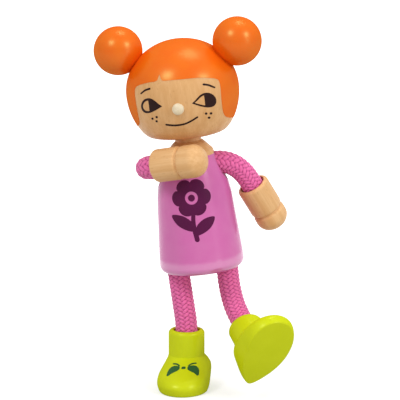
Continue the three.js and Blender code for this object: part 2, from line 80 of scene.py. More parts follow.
# %% [markdown]
# ## The camera
# The photograph was taken from straight in front, a little above the doll, with a long
# lens. A near camera would make the raised foot look too large, so this one stands 60 cm
# off and its lens is as long as the frame's width at the doll asks.

# %% Camera
CAMERA_ELEVATION = math.radians(11.5)
CAMERA_DISTANCE = 600 * MM
CAMERA_TARGET = Vector((3.4, 0, 47.7)) * MM
FIELD_WIDTH = 100.2 * MM  # what the frame spans at the doll
SENSOR_WIDTH = 36  # mm
SEES_FROM, SEES_TO = 0.05, 20  # m


def add_object(name, data):
    """An object of the scene with this mesh, lamp or camera."""
    obj = bpy.data.objects.new(name, data)
    bpy.context.scene.collection.objects.link(obj)
    return obj


camera_data = bpy.data.cameras.new("camera")
camera_data.sensor_width = SENSOR_WIDTH
camera_data.lens = SENSOR_WIDTH * CAMERA_DISTANCE / FIELD_WIDTH
camera_data.clip_start, camera_data.clip_end = SEES_FROM, SEES_TO
camera = add_object("camera", camera_data)
to_camera = Vector((0, -math.cos(CAMERA_ELEVATION), math.sin(CAMERA_ELEVATION)))
camera.location = CAMERA_TARGET + to_camera * CAMERA_DISTANCE
camera.rotation_euler = (-to_camera).to_track_quat("-Z", "Y").to_euler()
bpy.context.scene.camera = camera
print("lens, mm:", round(camera_data.lens))

# %% [markdown]
# ## Where the parts are
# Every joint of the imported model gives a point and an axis, so no place has to be measured
# twice. The head's turning axis is the body's axis too. The last wire of each limb points
# along its hand or shoe.

# %% Frames of the body and head
HEAD_SEAT = 34.75  # the head's flat base, above the body's lowest point
HEAD_TURN = -6.5  # degrees that the face looks towards the doll's right
FRONT = Vector((0, -1, 0))

joints = {joint["name"]: joint for joint in frame["joints"]}


def joint_place(name):
    return Vector(joints[name]["pos_m"])


def node_centre(name):
    low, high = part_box(name)
    return (low + high) / 2


def frame_at(origin, up, front):
    """A placing matrix whose Z goes up and whose -Y looks to the front."""
    z = up.normalized()
    y = -(front - front.dot(z) * z).normalized()
    matrix = Matrix((y.cross(z), y, z)).transposed().to_4x4()
    matrix.translation = origin
    return matrix


body_up = Vector(joints["head_turn"]["axis"]).normalized()
head_place = joint_place("head_turn")
head_front = Matrix.Rotation(math.radians(HEAD_TURN), 3, body_up) @ FRONT
BODY_FRAME = frame_at(head_place - body_up * HEAD_SEAT * MM, body_up, FRONT)
HEAD_FRAME = frame_at(head_place, body_up, head_front)
print("body leans", round(math.degrees(body_up.angle(Vector((0, 0, 1)))), 1), "degrees")

# %% [markdown]
# ## Colours and nodes
# Colours are written as the hex values that a paint chart gives, and turned to the linear
# values that Blender mixes with. Every pattern is made of nodes. A node takes a call to
# make it, one for each setting and one for each link, so one function does all three.

# %% Colour and node helpers
def colour(hex_code):
    """A linear colour from an sRGB hex code."""
    parts = [int(hex_code[i:i + 2], 16) / 255 for i in (1, 3, 5)]
    linear = [p / 12.92 if p <= 0.04045 else ((p + 0.055) / 1.055) ** 2.4 for p in parts]
    return (*linear, 1.0)


def add_node(tree, kind, inputs=None, **settings):
    """A node with its settings. An input is a value, or another node's output to link."""
    node = tree.nodes.new(kind)
    for name, value in settings.items():
        setattr(node, name, value)
    for socket, value in (inputs or {}).items():
        if isinstance(value, bpy.types.NodeSocket):
            tree.links.new(value, node.inputs[socket])
        else:
            node.inputs[socket].default_value = value
    return node


def new_material(name, **shader):
    """A material with the values that are the same all over it. Returns it and its tree."""
    material = bpy.data.materials.new(name)
    material.use_nodes = True
    principled = material.node_tree.nodes["Principled BSDF"]
    for socket, value in shader.items():
        principled.inputs[socket.replace("_", " ")].default_value = value
    return material, material.node_tree


def into_shader(tree, socket, output):
    tree.links.new(output, tree.nodes["Principled BSDF"].inputs[socket])


print("mid grey #808080 is", round(colour("#808080")[0], 3), "in linear light")

# %% [markdown]
# ## Meshes
# Nearly every part of the doll is a stack of rings: a turned part has round ones, a shoe
# has foot-shaped ones, and a cord has rings with the braid's relief. So one function joins
# rings with faces. A modifier could spin a curve too, but then the rings couldn't change.

# %% Mesh helpers
SMOOTH_LIMIT = math.radians(35)  # faces that meet at less are shaded as one surface
ON_AXIS = 1e-9


def new_mesh(name, points, faces):
    """A mesh from points in mm."""
    mesh = bpy.data.meshes.new(name)
    mesh.from_pydata([Vector(p) * MM for p in points], [], faces)
    return mesh


def new_piece(name, points, faces, finishes, place, body, finish_of=None, grain=False):
    """A smooth-shaded piece. Points are in mm in the piece's own frame. The mesh is moved
    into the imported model's frame, so that its box is exact, but a piece with a grain keeps
    its own frame, because the grain runs along it."""
    mesh = new_mesh(name, points, faces)
    for finish in finishes:
        mesh.materials.append(finish)
    if finish_of is not None:
        mesh.polygons.foreach_set("material_index", finish_of)
    mesh.polygons.foreach_set("use_smooth", [True] * len(mesh.polygons))
    mesh.set_sharp_from_angle(angle=SMOOTH_LIMIT)
    if not grain:
        mesh.transform(place)
    mesh.update()
    piece = add_object(name, mesh)
    piece.matrix_world = place if grain else Matrix.Identity(4)
    if body:
        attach(piece, body)
    return piece


def turns(count):
    """Angles all the way round, in equal steps."""
    return [2 * math.pi * k / count for k in range(count)]


def stack(rings, closed=False):
    """Points and faces of a solid made of rings, and the band that each face is in. A ring
    of one point closes an end. A closed stack joins its last ring to its first."""
    points, rows, faces, band_of = [], [], [], []
    for ring in rings:
        rows.append(range(len(points), len(points) + len(ring)))
        points += ring
    if closed:
        rows.append(rows[0])
    for band, (low, high) in enumerate(zip(rows, rows[1:])):
        sides = max(len(low), len(high))
        for k in range(sides):
            n = (k + 1) % sides
            if len(low) == 1:
                faces.append((low[0], high[n], high[k]))
            elif len(high) == 1:
                faces.append((low[k], low[n], high[0]))
            else:
                faces.append((low[k], low[n], high[n], high[k]))
            band_of.append(band)
    return points, faces, band_of


def lathe(profile, sides):
    """A turned solid from pairs of radius and height, from the axis back to the axis."""
    return stack([
        [(radius * math.cos(a), radius * math.sin(a), height)
         for a in (turns(sides) if radius > ON_AXIS else [0.0])]
        for radius, height in profile
    ])


print("a turned cone of 8 sides has", len(lathe([(0, 0), (1, 0), (0, 2)], 8)[1]), "faces")

# %% Curves
def arc(centre, across, along, start, end, steps):
    """Points of an elliptical arc in a turning profile, angles in degrees."""
    angles = [math.radians(start + (end - start) * k / steps) for k in range(steps + 1)]
    return [
        (max(centre[0] + across * math.cos(a), 0), centre[1] + along * math.sin(a))
        for a in angles
    ]


def smooth_curve(points, steps=6, closed=False):
    """A curve through the points, with a few straight steps between each two."""
    p = [np.array(q, float) for q in points]
    count = len(p)
    curve = []
    for i in range(count if closed else count - 1):
        if closed:
            a, b, c, d = (p[(i + k) % count] for k in (-1, 0, 1, 2))
        else:
            b, c = p[i], p[i + 1]
            a = p[i - 1] if i else 2 * b - c
            d = p[i + 2] if i + 2 < count else 2 * c - b
        for k in range(steps):
            t = k / steps
            curve.append(
                0.5 * (2 * b + (c - a) * t + (2 * a - 5 * b + 4 * c - d) * t**2
                       + (3 * b - a - 3 * c + d) * t**3)
            )
    if not closed:
        curve.append(p[-1])
    return [tuple(float(x) for x in q) for q in curve]


def bezier(a, b, c, d, steps):
    """A curve from a to d that leaves towards b and arrives from c."""
    t = np.linspace(0, 1, steps + 1)[:, None]
    a, b, c, d = (np.array(q, float) for q in (a, b, c, d))
    curve = (1 - t)**3 * a + 3 * (1 - t)**2 * t * b + 3 * (1 - t) * t**2 * c + t**3 * d
    return [tuple(q) for q in curve.tolist()]


print("a quarter circle in 4 steps:", len(arc((0, 0), 1, 1, 0, 90, 4)), "points")

# %% [markdown]
# ## Thin prints and paints
# A painted mark is a thin skin of ink. It could be a second material on some faces, but
# then its edge would follow the mesh in steps. Here it is built as a skin: the flat drawing
# is cut into small triangles, wrapped onto the surface that carries it, and given a
# thickness of a few hundredths of a millimetre. A drawing is a list of closed loops, and a
# loop inside another is a hole.

# %% Cut a drawing into triangles
CLEARANCE = 0.45  # share of the spacing that inner points keep from the outline
SAME_POINT = 1e-5  # mm
NO_AREA = 1e-7  # mm2, doubled


def inside(x, y, loops):
    """Whether a point is on the drawing: inside an odd number of its loops."""
    crossings = 0
    for loop in loops:
        for (ax, ay), (bx, by) in zip(loop, loop[1:] + loop[:1]):
            if (ay > y) != (by > y) and x < ax + (y - ay) * (bx - ax) / (by - ay):
                crossings += 1
    return crossings % 2 == 1


def square_grid(loops, spacing):
    """Inner points for a drawing, on a square grid."""
    every = np.array([q for loop in loops for q in loop])
    low, high = every.min(0), every.max(0)
    return [
        (x, y)
        for x in np.arange(low[0] + spacing / 2, high[0], spacing)
        for y in np.arange(low[1] + spacing / 2, high[1], spacing)
    ]


def cut_drawing(loops, inner, spacing):
    """Triangles of a drawing: its corners and the triangles between them."""
    every = np.array([q for loop in loops for q in loop])
    kept = []
    for x, y in inner:
        nearest = np.min(np.hypot(every[:, 0] - x, every[:, 1] - y))
        if nearest > CLEARANCE * spacing and inside(x, y, loops):
            kept.append((x, y))
    edges, start = [], 0
    for loop in loops:
        count = len(loop)
        edges += [(start + k, start + (k + 1) % count) for k in range(count)]
        start += count
    corners = [Vector(q) for q in every] + [Vector(q) for q in kept]
    points, _, triangles, *_ = delaunay_2d_cdt(corners, edges, [], 0, SAME_POINT)
    chosen = []
    for triangle in triangles:
        a, b, c = (points[k] for k in triangle)
        area = (b - a).cross(c - a)
        middle = (a + b + c) / 3
        if abs(area) > NO_AREA and inside(middle.x, middle.y, loops):
            chosen.append(tuple(triangle) if area > 0 else tuple(reversed(triangle)))
    return points, chosen


square = [[(0, 0), (1, 0), (1, 1), (0, 1)]]
print("a square millimetre:", len(cut_drawing(square, square_grid(square, 0.25), 0.25)[1]),
      "triangles")

# %% A skin of paint on a curved surface
PRINT_THICKNESS = 0.04
PRINT_DEPTH = 0.04  # how far the skin reaches into what carries it


def paint_skin(name, loops, carrier, finish, place, body, spacing, inner=None,
               thickness=PRINT_THICKNESS):
    """A thin closed skin. carrier(x, y) gives the point and normal under the drawing."""
    flat, triangles = cut_drawing(loops, inner or square_grid(loops, spacing), spacing)
    used = sorted({k for t in triangles for k in t})
    index = {k: n for n, k in enumerate(used)}
    under = [carrier(flat[k].x, flat[k].y) for k in used]
    count = len(used)
    points = [p + n * thickness for p, n in under] + [p - n * PRINT_DEPTH for p, n in under]
    top = [tuple(index[k] for k in t) for t in triangles]
    edges = {(a, b) for t in top for a, b in zip(t, t[1:] + t[:1])}
    bottom = [tuple(k + count for k in reversed(t)) for t in top]
    walls = [(b, a, a + count, b + count) for a, b in sorted(edges) if (b, a) not in edges]
    skin = new_piece(name, points, top + bottom + walls, [finish], place, body)
    outwards = [place.to_3x3() @ n for _, n in under]
    normals = []
    for polygon in skin.data.polygons:
        for corner in polygon.vertices:
            if polygon.index < len(top):
                normals.append(outwards[corner])
            elif polygon.index < 2 * len(top):
                normals.append(-outwards[corner - count])
            else:
                normals.append(polygon.normal)
    skin.data.normals_split_custom_set([tuple(n) for n in normals])
    return skin


print("a print stands", PRINT_THICKNESS, "mm proud")

# %% Brush lines and dots
CAP_STEPS = 6


def stroke(points, start_width, end_width):
    """The outline of a brush line through the points, with round ends."""
    line = smooth_curve(points)
    halves = np.linspace(start_width, end_width, len(line)) / 2
    left, right = [], []
    for k, (x, y) in enumerate(line):
        ax, ay = line[max(k - 1, 0)]
        bx, by = line[min(k + 1, len(line) - 1)]
        length = math.hypot(bx - ax, by - ay)
        nx, ny = -(by - ay) / length, (bx - ax) / length
        left.append((x + nx * halves[k], y + ny * halves[k]))
        right.append((x - nx * halves[k], y - ny * halves[k]))

    def cap(centre, rim_point, half):
        start = math.atan2(rim_point[1] - centre[1], rim_point[0] - centre[0])
        angles = [start - math.pi * k / CAP_STEPS for k in range(1, CAP_STEPS)]
        return [(centre[0] + half * math.cos(a), centre[1] + half * math.sin(a))
                for a in angles]

    return (left + cap(line[-1], left[-1], halves[-1])
            + right[::-1] + cap(line[0], right[0], halves[0]))


def dot(x, y, radius, sides=16):
    return [(x + radius * math.cos(a), y + radius * math.sin(a)) for a in turns(sides)]


print("a short brush line has", len(stroke([(0, 0), (1, 0)], 0.4, 0.4)), "corners")

# %% [markdown]
# ## Bare wood
# The face, neck and hands are bare turned beech or maple, sanded smooth and waxed. It
# shows a warm pale tone, fine streaks along the grain and short brown flecks about a
# fifth of a millimetre wide, with a soft, low gloss. A photograph of wood could be wrapped
# on, but noise that is stretched along the grain has no seam and runs right through each
# piece. The grain runs along each turned piece, which is local Z.

# %% Wood materials
# For each layer of the pattern: mm across and along the grain, detail, the noise at which
# it starts and is full, and the most that it covers.
WOOD_LAYERS = {
    "rings": (2.2, 26, 2, 0.35, 0.68, 0.7),
    "grain": (0.42, 9, 3, 0.38, 0.72, 0.55),
    "flecks": (0.2, 1.6, 1, 0.66, 0.78, 0.5),
}
FIBRES = (0.25, 5, 3)  # mm across, mm along, detail
FIBRE_HEIGHT = 0.03  # mm
WAX_ROUGHNESS = (0.44, 0.56)


def streaks(tree, across_mm, along_mm, detail):
    """Noise drawn out along local Z: a pattern across_mm wide and along_mm long."""
    place = add_node(tree, "ShaderNodeTexCoord").outputs["Object"]
    scale = (1 / (across_mm * MM), 1 / (across_mm * MM), 1 / (along_mm * MM))
    stretched = add_node(tree, "ShaderNodeMapping", {"Vector": place, "Scale": scale})
    return add_node(tree, "ShaderNodeTexNoise", {
        "Vector": stretched.outputs["Vector"], "Scale": 1.0, "Detail": detail,
        "Roughness": 0.6,
    }).outputs["Fac"]


def washes(tree, tone, layers):
    """A colour with others laid over it, and how much each covers. A layer is a pattern,
    where it starts and is full, the most that it covers, and its colour."""
    shares = []
    for pattern, start, full, most, shade in layers:
        shares.append(add_node(tree, "ShaderNodeMapRange", {
            "Value": pattern, "From Min": start, "From Max": full, "To Max": most,
        }, interpolation_type="SMOOTHSTEP").outputs["Result"])
        tone = add_node(tree, "ShaderNodeMix", {  # the share and the two colours
            0: shares[-1], 6: tone, 7: colour(shade),
        }, data_type="RGBA").outputs[2]
    return tone, shares


def bare_wood(name, light, dark, fleck):
    material, tree = new_material(name, Roughness=0.5, Specular_IOR_Level=0.3)
    shades = {"rings": dark, "grain": dark, "flecks": fleck}
    tone, shares = washes(tree, colour(light), [
        (streaks(tree, *sizes[:3]), *sizes[3:], shades[layer])
        for layer, sizes in WOOD_LAYERS.items()
    ])
    into_shader(tree, "Base Color", tone)
    smooth, rough = WAX_ROUGHNESS
    into_shader(tree, "Roughness", add_node(tree, "ShaderNodeMapRange", {
        "Value": shares[1], "From Max": WOOD_LAYERS["grain"][5], "To Min": smooth,
        "To Max": rough,
    }, interpolation_type="SMOOTHSTEP").outputs["Result"])
    into_shader(tree, "Normal", add_node(tree, "ShaderNodeBump", {
        "Height": streaks(tree, *FIBRES), "Strength": 0.25, "Distance": FIBRE_HEIGHT * MM,
    }).outputs["Normal"])
    return material


WOOD = bare_wood("waxed_maple", "#EABB84", "#DAA467", "#AD713C")
# The head's wood is the same waxed wood in darker colours. This is painted shade, because the
# face turns more towards the front lamps than the hands do.
SHADED_FACE_WOOD = bare_wood("waxed_maple_shaded_face", "#E1B078", "#D29C60", "#A66B38")
PALE_WOOD = bare_wood("pale_birch_peg", "#EADABC", "#DFCBA4", "#CDB083")
print("wood materials:", WOOD.name, SHADED_FACE_WOOD.name, PALE_WOOD.name)

# %% [markdown]
# ## Lacquer and ink
# The hair, dress and shoes are sprayed with a satin lacquer. It is opaque and even, with
# a soft wide gloss, a faint orange-peel texture about a millimetre across, and a little
# less colour where the coat is thin. Pad ink is the same, but thinner and more matt. A
# clear coat over a colour would be one more layer, which the real doll hasn't got.

# %% Lacquer materials
PATCH_SIZE = 5  # mm, of a thinner patch
THIN_PATCHES = (0.35, 0.7, 0.5)  # where a patch starts and is full, the most it covers
PEEL_SIZE, PEEL_HEIGHT = 0.9, 0.03  # mm, of the orange peel
BEAD_START = 0.7  # share of the bead's height up to which it is at its thickest
BEAD_ROUGHNESS, BEAD_GLOSS = 0.1, 1.0


def lacquer(name, base, thin, roughness=0.3, gloss=0.1, glint=None, bead=None):
    """A coat of colour. A glint is a second, even reflection, tinted as the photograph
    shows. Below the height of a bead, in mm, the coat has gathered and is glossier."""
    material, tree = new_material(name, Specular_IOR_Level=gloss)
    place = add_node(tree, "ShaderNodeTexCoord").outputs["Object"]
    patches, peel = (
        add_node(tree, "ShaderNodeTexNoise", {
            "Vector": place, "Scale": 1 / (size * MM), "Detail": detail, "Roughness": 0.5,
        }).outputs["Fac"]
        for size, detail in ((PATCH_SIZE, 3.0), (PEEL_SIZE, 2.0))
    )
    tone, _ = washes(tree, colour(base), [(patches, *THIN_PATCHES, thin)])
    into_shader(tree, "Base Color", tone)
    if bead:
        height = add_node(tree, "ShaderNodeSeparateXYZ", {"Vector": place}).outputs["Z"]
        pattern, start, end = height, BEAD_START * bead * MM, bead * MM
        changes = {"Roughness": (BEAD_ROUGHNESS, roughness),
                   "Specular IOR Level": (BEAD_GLOSS, gloss)}
    else:
        pattern, start, end = patches, 0.3, 0.7
        changes = {"Roughness": (roughness - 0.03, roughness + 0.05)}
    for socket, (first, last) in changes.items():
        into_shader(tree, socket, add_node(tree, "ShaderNodeMapRange", {
            "Value": pattern, "From Min": start, "From Max": end, "To Min": first,
            "To Max": last,
        }, interpolation_type="SMOOTHSTEP").outputs["Result"])
    normal = add_node(tree, "ShaderNodeBump", {
        "Height": peel, "Strength": 0.12, "Distance": PEEL_HEIGHT * MM,
    }).outputs["Normal"]
    into_shader(tree, "Normal", normal)
    if glint:
        shine = add_node(tree, "ShaderNodeBsdfGlossy", {
            "Color": colour(glint), "Roughness": roughness, "Normal": normal})
        both = add_node(tree, "ShaderNodeAddShader", {
            0: tree.nodes["Principled BSDF"].outputs[0], 1: shine.outputs[0]})
        tree.links.new(both.outputs[0], tree.nodes["Material Output"].inputs["Surface"])
    return material


ORANGE = lacquer("orange_satin_lacquer", "#E45D0A", "#E66B0C", gloss=0.0, glint="#2A4026")
PINK = lacquer("pink_satin_lacquer", "#D26BAC", "#D477B0", roughness=0.25, gloss=0.25,
               bead=4.4)
LIME = lacquer("lime_satin_lacquer", "#C8D212", "#CED71A", gloss=0.0, glint="#30321C")
INK = lacquer("dark_brown_pad_ink", "#24100E", "#2E1712", roughness=0.5)
PLUM_INK = lacquer("plum_pad_ink", "#54123F", "#5C1848", roughness=0.4)
GREEN_INK = lacquer("bottle_green_pad_ink", "#2A5A2C", "#366534", roughness=0.5)
print("lacquers:", ORANGE.name, PINK.name, LIME.name)
print("inks:", INK.name, PLUM_INK.name, GREEN_INK.name)

# %% [markdown]
# ## The head
# The head is a turned ball, flat where it meets the neck. It is one curve spun round the
# axis: an ellipse above its widest ring and a deeper one below it. A ball pulled into
# shape would do too, but a curve gives the flat base and its eased edge for nothing.

# %% Head
HEAD_RADIUS = 14.0
HEAD_HEIGHT = 23.9
HEAD_WIDEST = 11.2
HEAD_LOWER = 15.3  # half height of the lower ellipse
HEAD_EDGE = 1.8
BASE_EDGE = [(2.4, 0), (1.5, 0.06), (0.65, 0.36), (0, 1)]  # in and up, times HEAD_EDGE
BASE_FLAT = 3.5  # in, times HEAD_EDGE
FINE_SIDES = 128


def head_reach(height):
    """Half height of the ellipse that the head follows at a height."""
    return HEAD_HEIGHT - HEAD_WIDEST if height > HEAD_WIDEST else HEAD_LOWER


def head_radius(height):
    share = (height - HEAD_WIDEST) / head_reach(height)
    return HEAD_RADIUS * math.sqrt(max(1 - share**2, 0))


def head_normal(x, y, height):
    return Vector((x / HEAD_RADIUS**2, y / HEAD_RADIUS**2,
                   (height - HEAD_WIDEST) / head_reach(height)**2)).normalized()


edge_radius = head_radius(HEAD_EDGE)
edge_angle = -math.degrees(math.asin((HEAD_WIDEST - HEAD_EDGE) / HEAD_LOWER))
base_edge = smooth_curve([
    (edge_radius - inwards * HEAD_EDGE, up * HEAD_EDGE) for inwards, up in BASE_EDGE
], steps=3)[:-1]
head_profile = [
    (0, 0), (edge_radius - BASE_FLAT * HEAD_EDGE, 0), *base_edge,
    *arc((0, HEAD_WIDEST), HEAD_RADIUS, HEAD_LOWER, edge_angle, 0, 16),
    *arc((0, HEAD_WIDEST), HEAD_RADIUS, HEAD_HEIGHT - HEAD_WIDEST, 0, 90, 28)[1:],
]
points, faces, _ = lathe(head_profile, FINE_SIDES)
# The head takes the darker copy of the wood, which paints shade into it.
head = new_piece("head_wood", points, faces, [SHADED_FACE_WOOD],
                 frame_at(head_place, body_up, FRONT), "head", grain=True)
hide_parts("head")
print("head:", len(faces), "faces")

# %% [markdown]
# ## The hair
# The hair is a coat of orange lacquer on the same ball. Seen from the top of the head,
# its edge is one closed line: straight across the forehead with a small parting, down
# beside each cheek, and round the back near the neck. The drawing is made in that view,
# as distance down the ball and direction round it, and then wrapped back onto the ball,
# because a view from the front couldn't hold the back of the head.

# %% The hair's outline
HAIRLINE = [  # degrees from the middle of the face, height above the head's base
    (0, 15.75), (14, 15.7), (28, 15.5), (40, 14.95), (46.5, 14.5), (49.2, 13.9),
    (49.6, 12.6), (49.0, 10.4), (50.0, 7.9), (52.4, 6.1), (55.8, 5.05), (60.5, 4.4),
    (69, 3.85), (80, 3.5), (100, 3.2), (125, 3.0), (150, 2.9), (180, 2.9),
]
PARTING = [(-13.4, 15.85), (-14.7, 16.3), (-16.9, 17.2), (-17.9, 16.6), (-19.0, 15.9)]
PARTING_FROM, PARTING_TO = -20, -12.5  # degrees that the parting takes the place of

meridian = np.array([
    (HEAD_RADIUS * math.sin(a), HEAD_WIDEST + (HEAD_HEIGHT - HEAD_WIDEST) * math.cos(a))
    for a in np.linspace(0, math.pi / 2, 400)
] + [
    (HEAD_RADIUS * math.cos(a), HEAD_WIDEST - HEAD_LOWER * math.sin(a))
    for a in np.linspace(0, -math.radians(edge_angle), 300)[1:]
])
down = np.concatenate([[0], np.cumsum(np.hypot(*np.diff(meridian, axis=0).T))])


def from_top(direction, height):
    """The drawing's point for a direction in degrees and a height on the head."""
    distance = float(np.interp(-height, -meridian[:, 1], down))
    a = math.radians(direction)
    return (distance * math.sin(a), -distance * math.cos(a))


def on_head_from_top(x, y):
    distance = math.hypot(x, y)
    radius = float(np.interp(distance, down, meridian[:, 0]))
    height = float(np.interp(distance, down, meridian[:, 1]))
    share = radius / distance if distance > ON_AXIS else 0
    point = Vector((x * share, y * share, height))
    return point, head_normal(*point)


right_side = smooth_curve(HAIRLINE, steps=5)
left_side = [(-a, h) for a, h in right_side[1:-1]][::-1]
before = [q for q in left_side if q[0] < PARTING_FROM]
after = [q for q in left_side if q[0] > PARTING_TO]
hairline = right_side + before + smooth_curve(PARTING[::-1], steps=4) + after
print("hairline:", len(hairline), "corners")

# %% Hair coat
HAIR_THICKNESS = 0.08
HAIR_RING_STEP, HAIR_POINT_STEP = 0.6, 0.7  # between rings of points, and along a ring
HAIR_RINGS = 59

inner = [(0.0, 0.0)]
for ring in range(1, HAIR_RINGS + 1):
    distance = ring * HAIR_RING_STEP
    count = max(6, round(2 * math.pi * distance / HAIR_POINT_STEP))
    angles = [2 * math.pi * (k + 0.5 * (ring % 2)) / count for k in range(count)]
    inner += [(distance * math.cos(a), distance * math.sin(a)) for a in angles]
hair = paint_skin(
    "hair_lacquer", [[from_top(a, h) for a, h in hairline]], on_head_from_top, ORANGE,
    HEAD_FRAME, "head", spacing=0.65, inner=inner,
    thickness=HAIR_THICKNESS,
)
print("hair coat:", len(hair.data.polygons), "faces")

# %% [markdown]
# ## Buns and nose
# The buns are turned balls, lacquered like the hair and pinned on with dowels. The nose
# is a round-headed peg of paler wood. Both are spun like the head, and the peg is laid on
# its side so that its grain runs into the face, as it does on a real dowel.

# %% Buns and nose
BUN_RADIUS = 6.1
BUN_PLACES = {"right": (-14.95, 22.35), "left": (14.85, 22.0)}  # across, up
BUN_SIDES = 80
NOSE_RADIUS = 1.45
NOSE_DOME = 0.72
NOSE_ACROSS, NOSE_HEIGHT = 0.3, 8.65
NOSE_PROUD = 1.0
NOSE_LENGTH = 3.0
NOSE_SIDES = 40

for side, (across, height) in BUN_PLACES.items():
    points, faces, _ = lathe(arc((0, 0), BUN_RADIUS, BUN_RADIUS, -90, 90, 40), BUN_SIDES)
    place = HEAD_FRAME @ Matrix.Translation(Vector((across, 0, height)) * MM)
    bun = new_piece(f"{side}_hair_bun", points, faces, [ORANGE], place, "head")
    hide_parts(f"{side}_bun")

face_point = Vector((NOSE_ACROSS, -head_radius(NOSE_HEIGHT), NOSE_HEIGHT)) * MM
nose_place = HEAD_FRAME @ Matrix.Translation(face_point)
nose_place = nose_place @ Matrix.Rotation(math.radians(90), 4, "X")
points, faces, _ = lathe([
    (0, -NOSE_LENGTH), (NOSE_RADIUS, -NOSE_LENGTH),
    *arc((0, NOSE_PROUD - NOSE_DOME), NOSE_RADIUS, NOSE_DOME, 0, 90, 12),
], NOSE_SIDES)
nose = new_piece("nose_peg", points, faces, [PALE_WOOD], nose_place, "head",
                 grain=True)
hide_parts("nose")
print("buns and nose in place")

# %% [markdown]
# ## The face
# The face is printed with dark brown ink. The pad that prints it comes straight from the
# front, so the drawing is made flat, in mm across and up, and pressed onto the ball. Each
# mark is a smooth closed line, which stays sharp where a painted image would blur.

# %% Face print
EYE = [  # outline about the eye's middle, its point towards the nose at -x
    (-2.8, -0.15), (-2.15, 0.35), (-1.3, 1.15), (-0.45, 1.72), (0.4, 1.9), (1.3, 1.72),
    (2.1, 1.15), (2.6, 0.3), (2.72, -0.6), (2.4, -1.42), (1.7, -1.85), (0.6, -1.78),
    (-0.65, -1.33), (-1.75, -0.78), (-2.4, -0.42),
]
EYE_HALF_WIDTH, EYE_HALF_HEIGHT = 2.7, 1.95
EYE_LINE = 0.56  # width of the line round the eye
EYE_SHIFT = 0.03  # of the bare wood inside it, away from the nose
RIM_LIMIT = 1e-6  # mm2, keeps the root real at the rim that the pad sees


def on_face(x, height):
    """The head's surface straight behind a point of the drawing."""
    y = -math.sqrt(max(head_radius(height)**2 - x**2, RIM_LIMIT))
    return Vector((x, y, height)), head_normal(x, y, height)


def left_of(loop, limit):
    """The part of a closed loop with x below a limit."""
    kept = []
    for (ax, ay), (bx, by) in zip(loop, loop[1:] + loop[:1]):
        if ax < limit:
            kept.append((ax, ay))
        if (ax < limit) != (bx < limit):
            kept.append((limit, ay + (by - ay) * (limit - ax) / (bx - ax)))
    return kept


def eye_loops(x, height, mirror, iris_edge):
    """The outline, and a hole left of the iris that leaves the wood bare."""
    outline = [(mirror * a, b) for a, b in smooth_curve(EYE, steps=4, closed=True)]
    if mirror < 0:
        outline.reverse()
    narrower, lower = 1 - EYE_LINE / EYE_HALF_WIDTH, 1 - EYE_LINE / EYE_HALF_HEIGHT
    white = left_of([(a * narrower + EYE_SHIFT * mirror, b * lower) for a, b in outline],
                    iris_edge)
    return [[(x + a, height + b) for a, b in loop] for loop in (outline, white)]


MOUTH = [(-3.23, 4.82), (-1.09, 4.5), (1.25, 4.64), (2.97, 5.23), (4.59, 6.01)]
FACE = {
    "right_eye": eye_loops(-6.45, 9.8, -1, -0.55),
    "left_eye": eye_loops(6.64, 9.83, 1, 0.12),
    "right_brow": [stroke([(-8.79, 12.8), (-7.62, 13.58), (-6.32, 14.01)], 0.36, 0.46)],
    "left_brow": [stroke([(6.9, 13.81), (8.02, 13.41), (9.31, 12.58)], 0.46, 0.36)],
    "mouth": [stroke(MOUTH, 0.48, 0.4)],
}
FRECKLES = [(-6.56, 6.5), (-5.38, 6.91), (-5.57, 5.8), (6.7, 6.55), (7.8, 6.36), (7.2, 5.35)]
FRECKLE_RADIUS = 0.3
for name, loops in FACE.items():
    paint_skin(name, loops, on_face, INK, HEAD_FRAME, "head", spacing=0.35)
for number, (x, height) in enumerate(FRECKLES, 1):
    paint_skin(f"freckle_{number}", [dot(x, height, FRECKLE_RADIUS)], on_face, INK,
               HEAD_FRAME, "head", spacing=0.25)
print("face print:", len(FACE) + len(FRECKLES), "marks")

# %% [markdown]
# ## The body
# The body is a turned cone with round shoulders, a short bare neck, a rounded hem and a
# shallow domed underside. The dress is lacquer up to a neckline just below the neck. It is
# part of the same turned solid, a few hundredths of a millimetre thicker, because a coat
# that is sprayed on wood has no underside of its own.

# %% The body's outline
HEM_RADIUS = 10.6
HEM_HEIGHT = 2.35  # where the hem begins to turn inwards
HEM_INWARDS, HEM_DOWN = 1.7, 1.9  # half sizes of the ellipse that it follows
HEM_TURN = math.radians(72)  # how far the hem goes round before the underside
UNDERSIDE_RADIUS = HEM_RADIUS - HEM_INWARDS * (1 - math.cos(HEM_TURN))
UNDERSIDE_DEPTH = HEM_HEIGHT - HEM_DOWN * math.sin(HEM_TURN)
CHEST_RADIUS, CHEST_HEIGHT = 9.35, 18.5
COLLAR_RADIUS, COLLAR_HEIGHT = 5.8, 30.65
NECK_RADIUS, NECK_FOOT = 3.3, 33.15
NECK_GAP = 0.05  # between the neck and the head


def underside_height(radius):
    return UNDERSIDE_DEPTH * (radius / UNDERSIDE_RADIUS) ** 3


drop = COLLAR_HEIGHT - CHEST_HEIGHT
shoulder_in = CHEST_RADIUS - COLLAR_RADIUS
rise = NECK_FOOT - COLLAR_HEIGHT
underside = [
    (UNDERSIDE_RADIUS * k / 12, underside_height(UNDERSIDE_RADIUS * k / 12))
    for k in range(12)
]
hem = arc((HEM_RADIUS - HEM_INWARDS, HEM_HEIGHT), HEM_INWARDS, HEM_DOWN,
          -math.degrees(HEM_TURN), 0, 14)
cone = [
    (HEM_RADIUS + (CHEST_RADIUS - HEM_RADIUS) * k / 8,
     HEM_HEIGHT + (CHEST_HEIGHT - HEM_HEIGHT) * k / 8)
    for k in range(1, 8)
]
shoulder = bezier(
    (CHEST_RADIUS, CHEST_HEIGHT),
    (CHEST_RADIUS - 0.1 * shoulder_in, CHEST_HEIGHT + 0.34 * drop),
    (COLLAR_RADIUS + 0.46 * shoulder_in, COLLAR_HEIGHT - 0.29 * drop),
    (COLLAR_RADIUS, COLLAR_HEIGHT), 24)
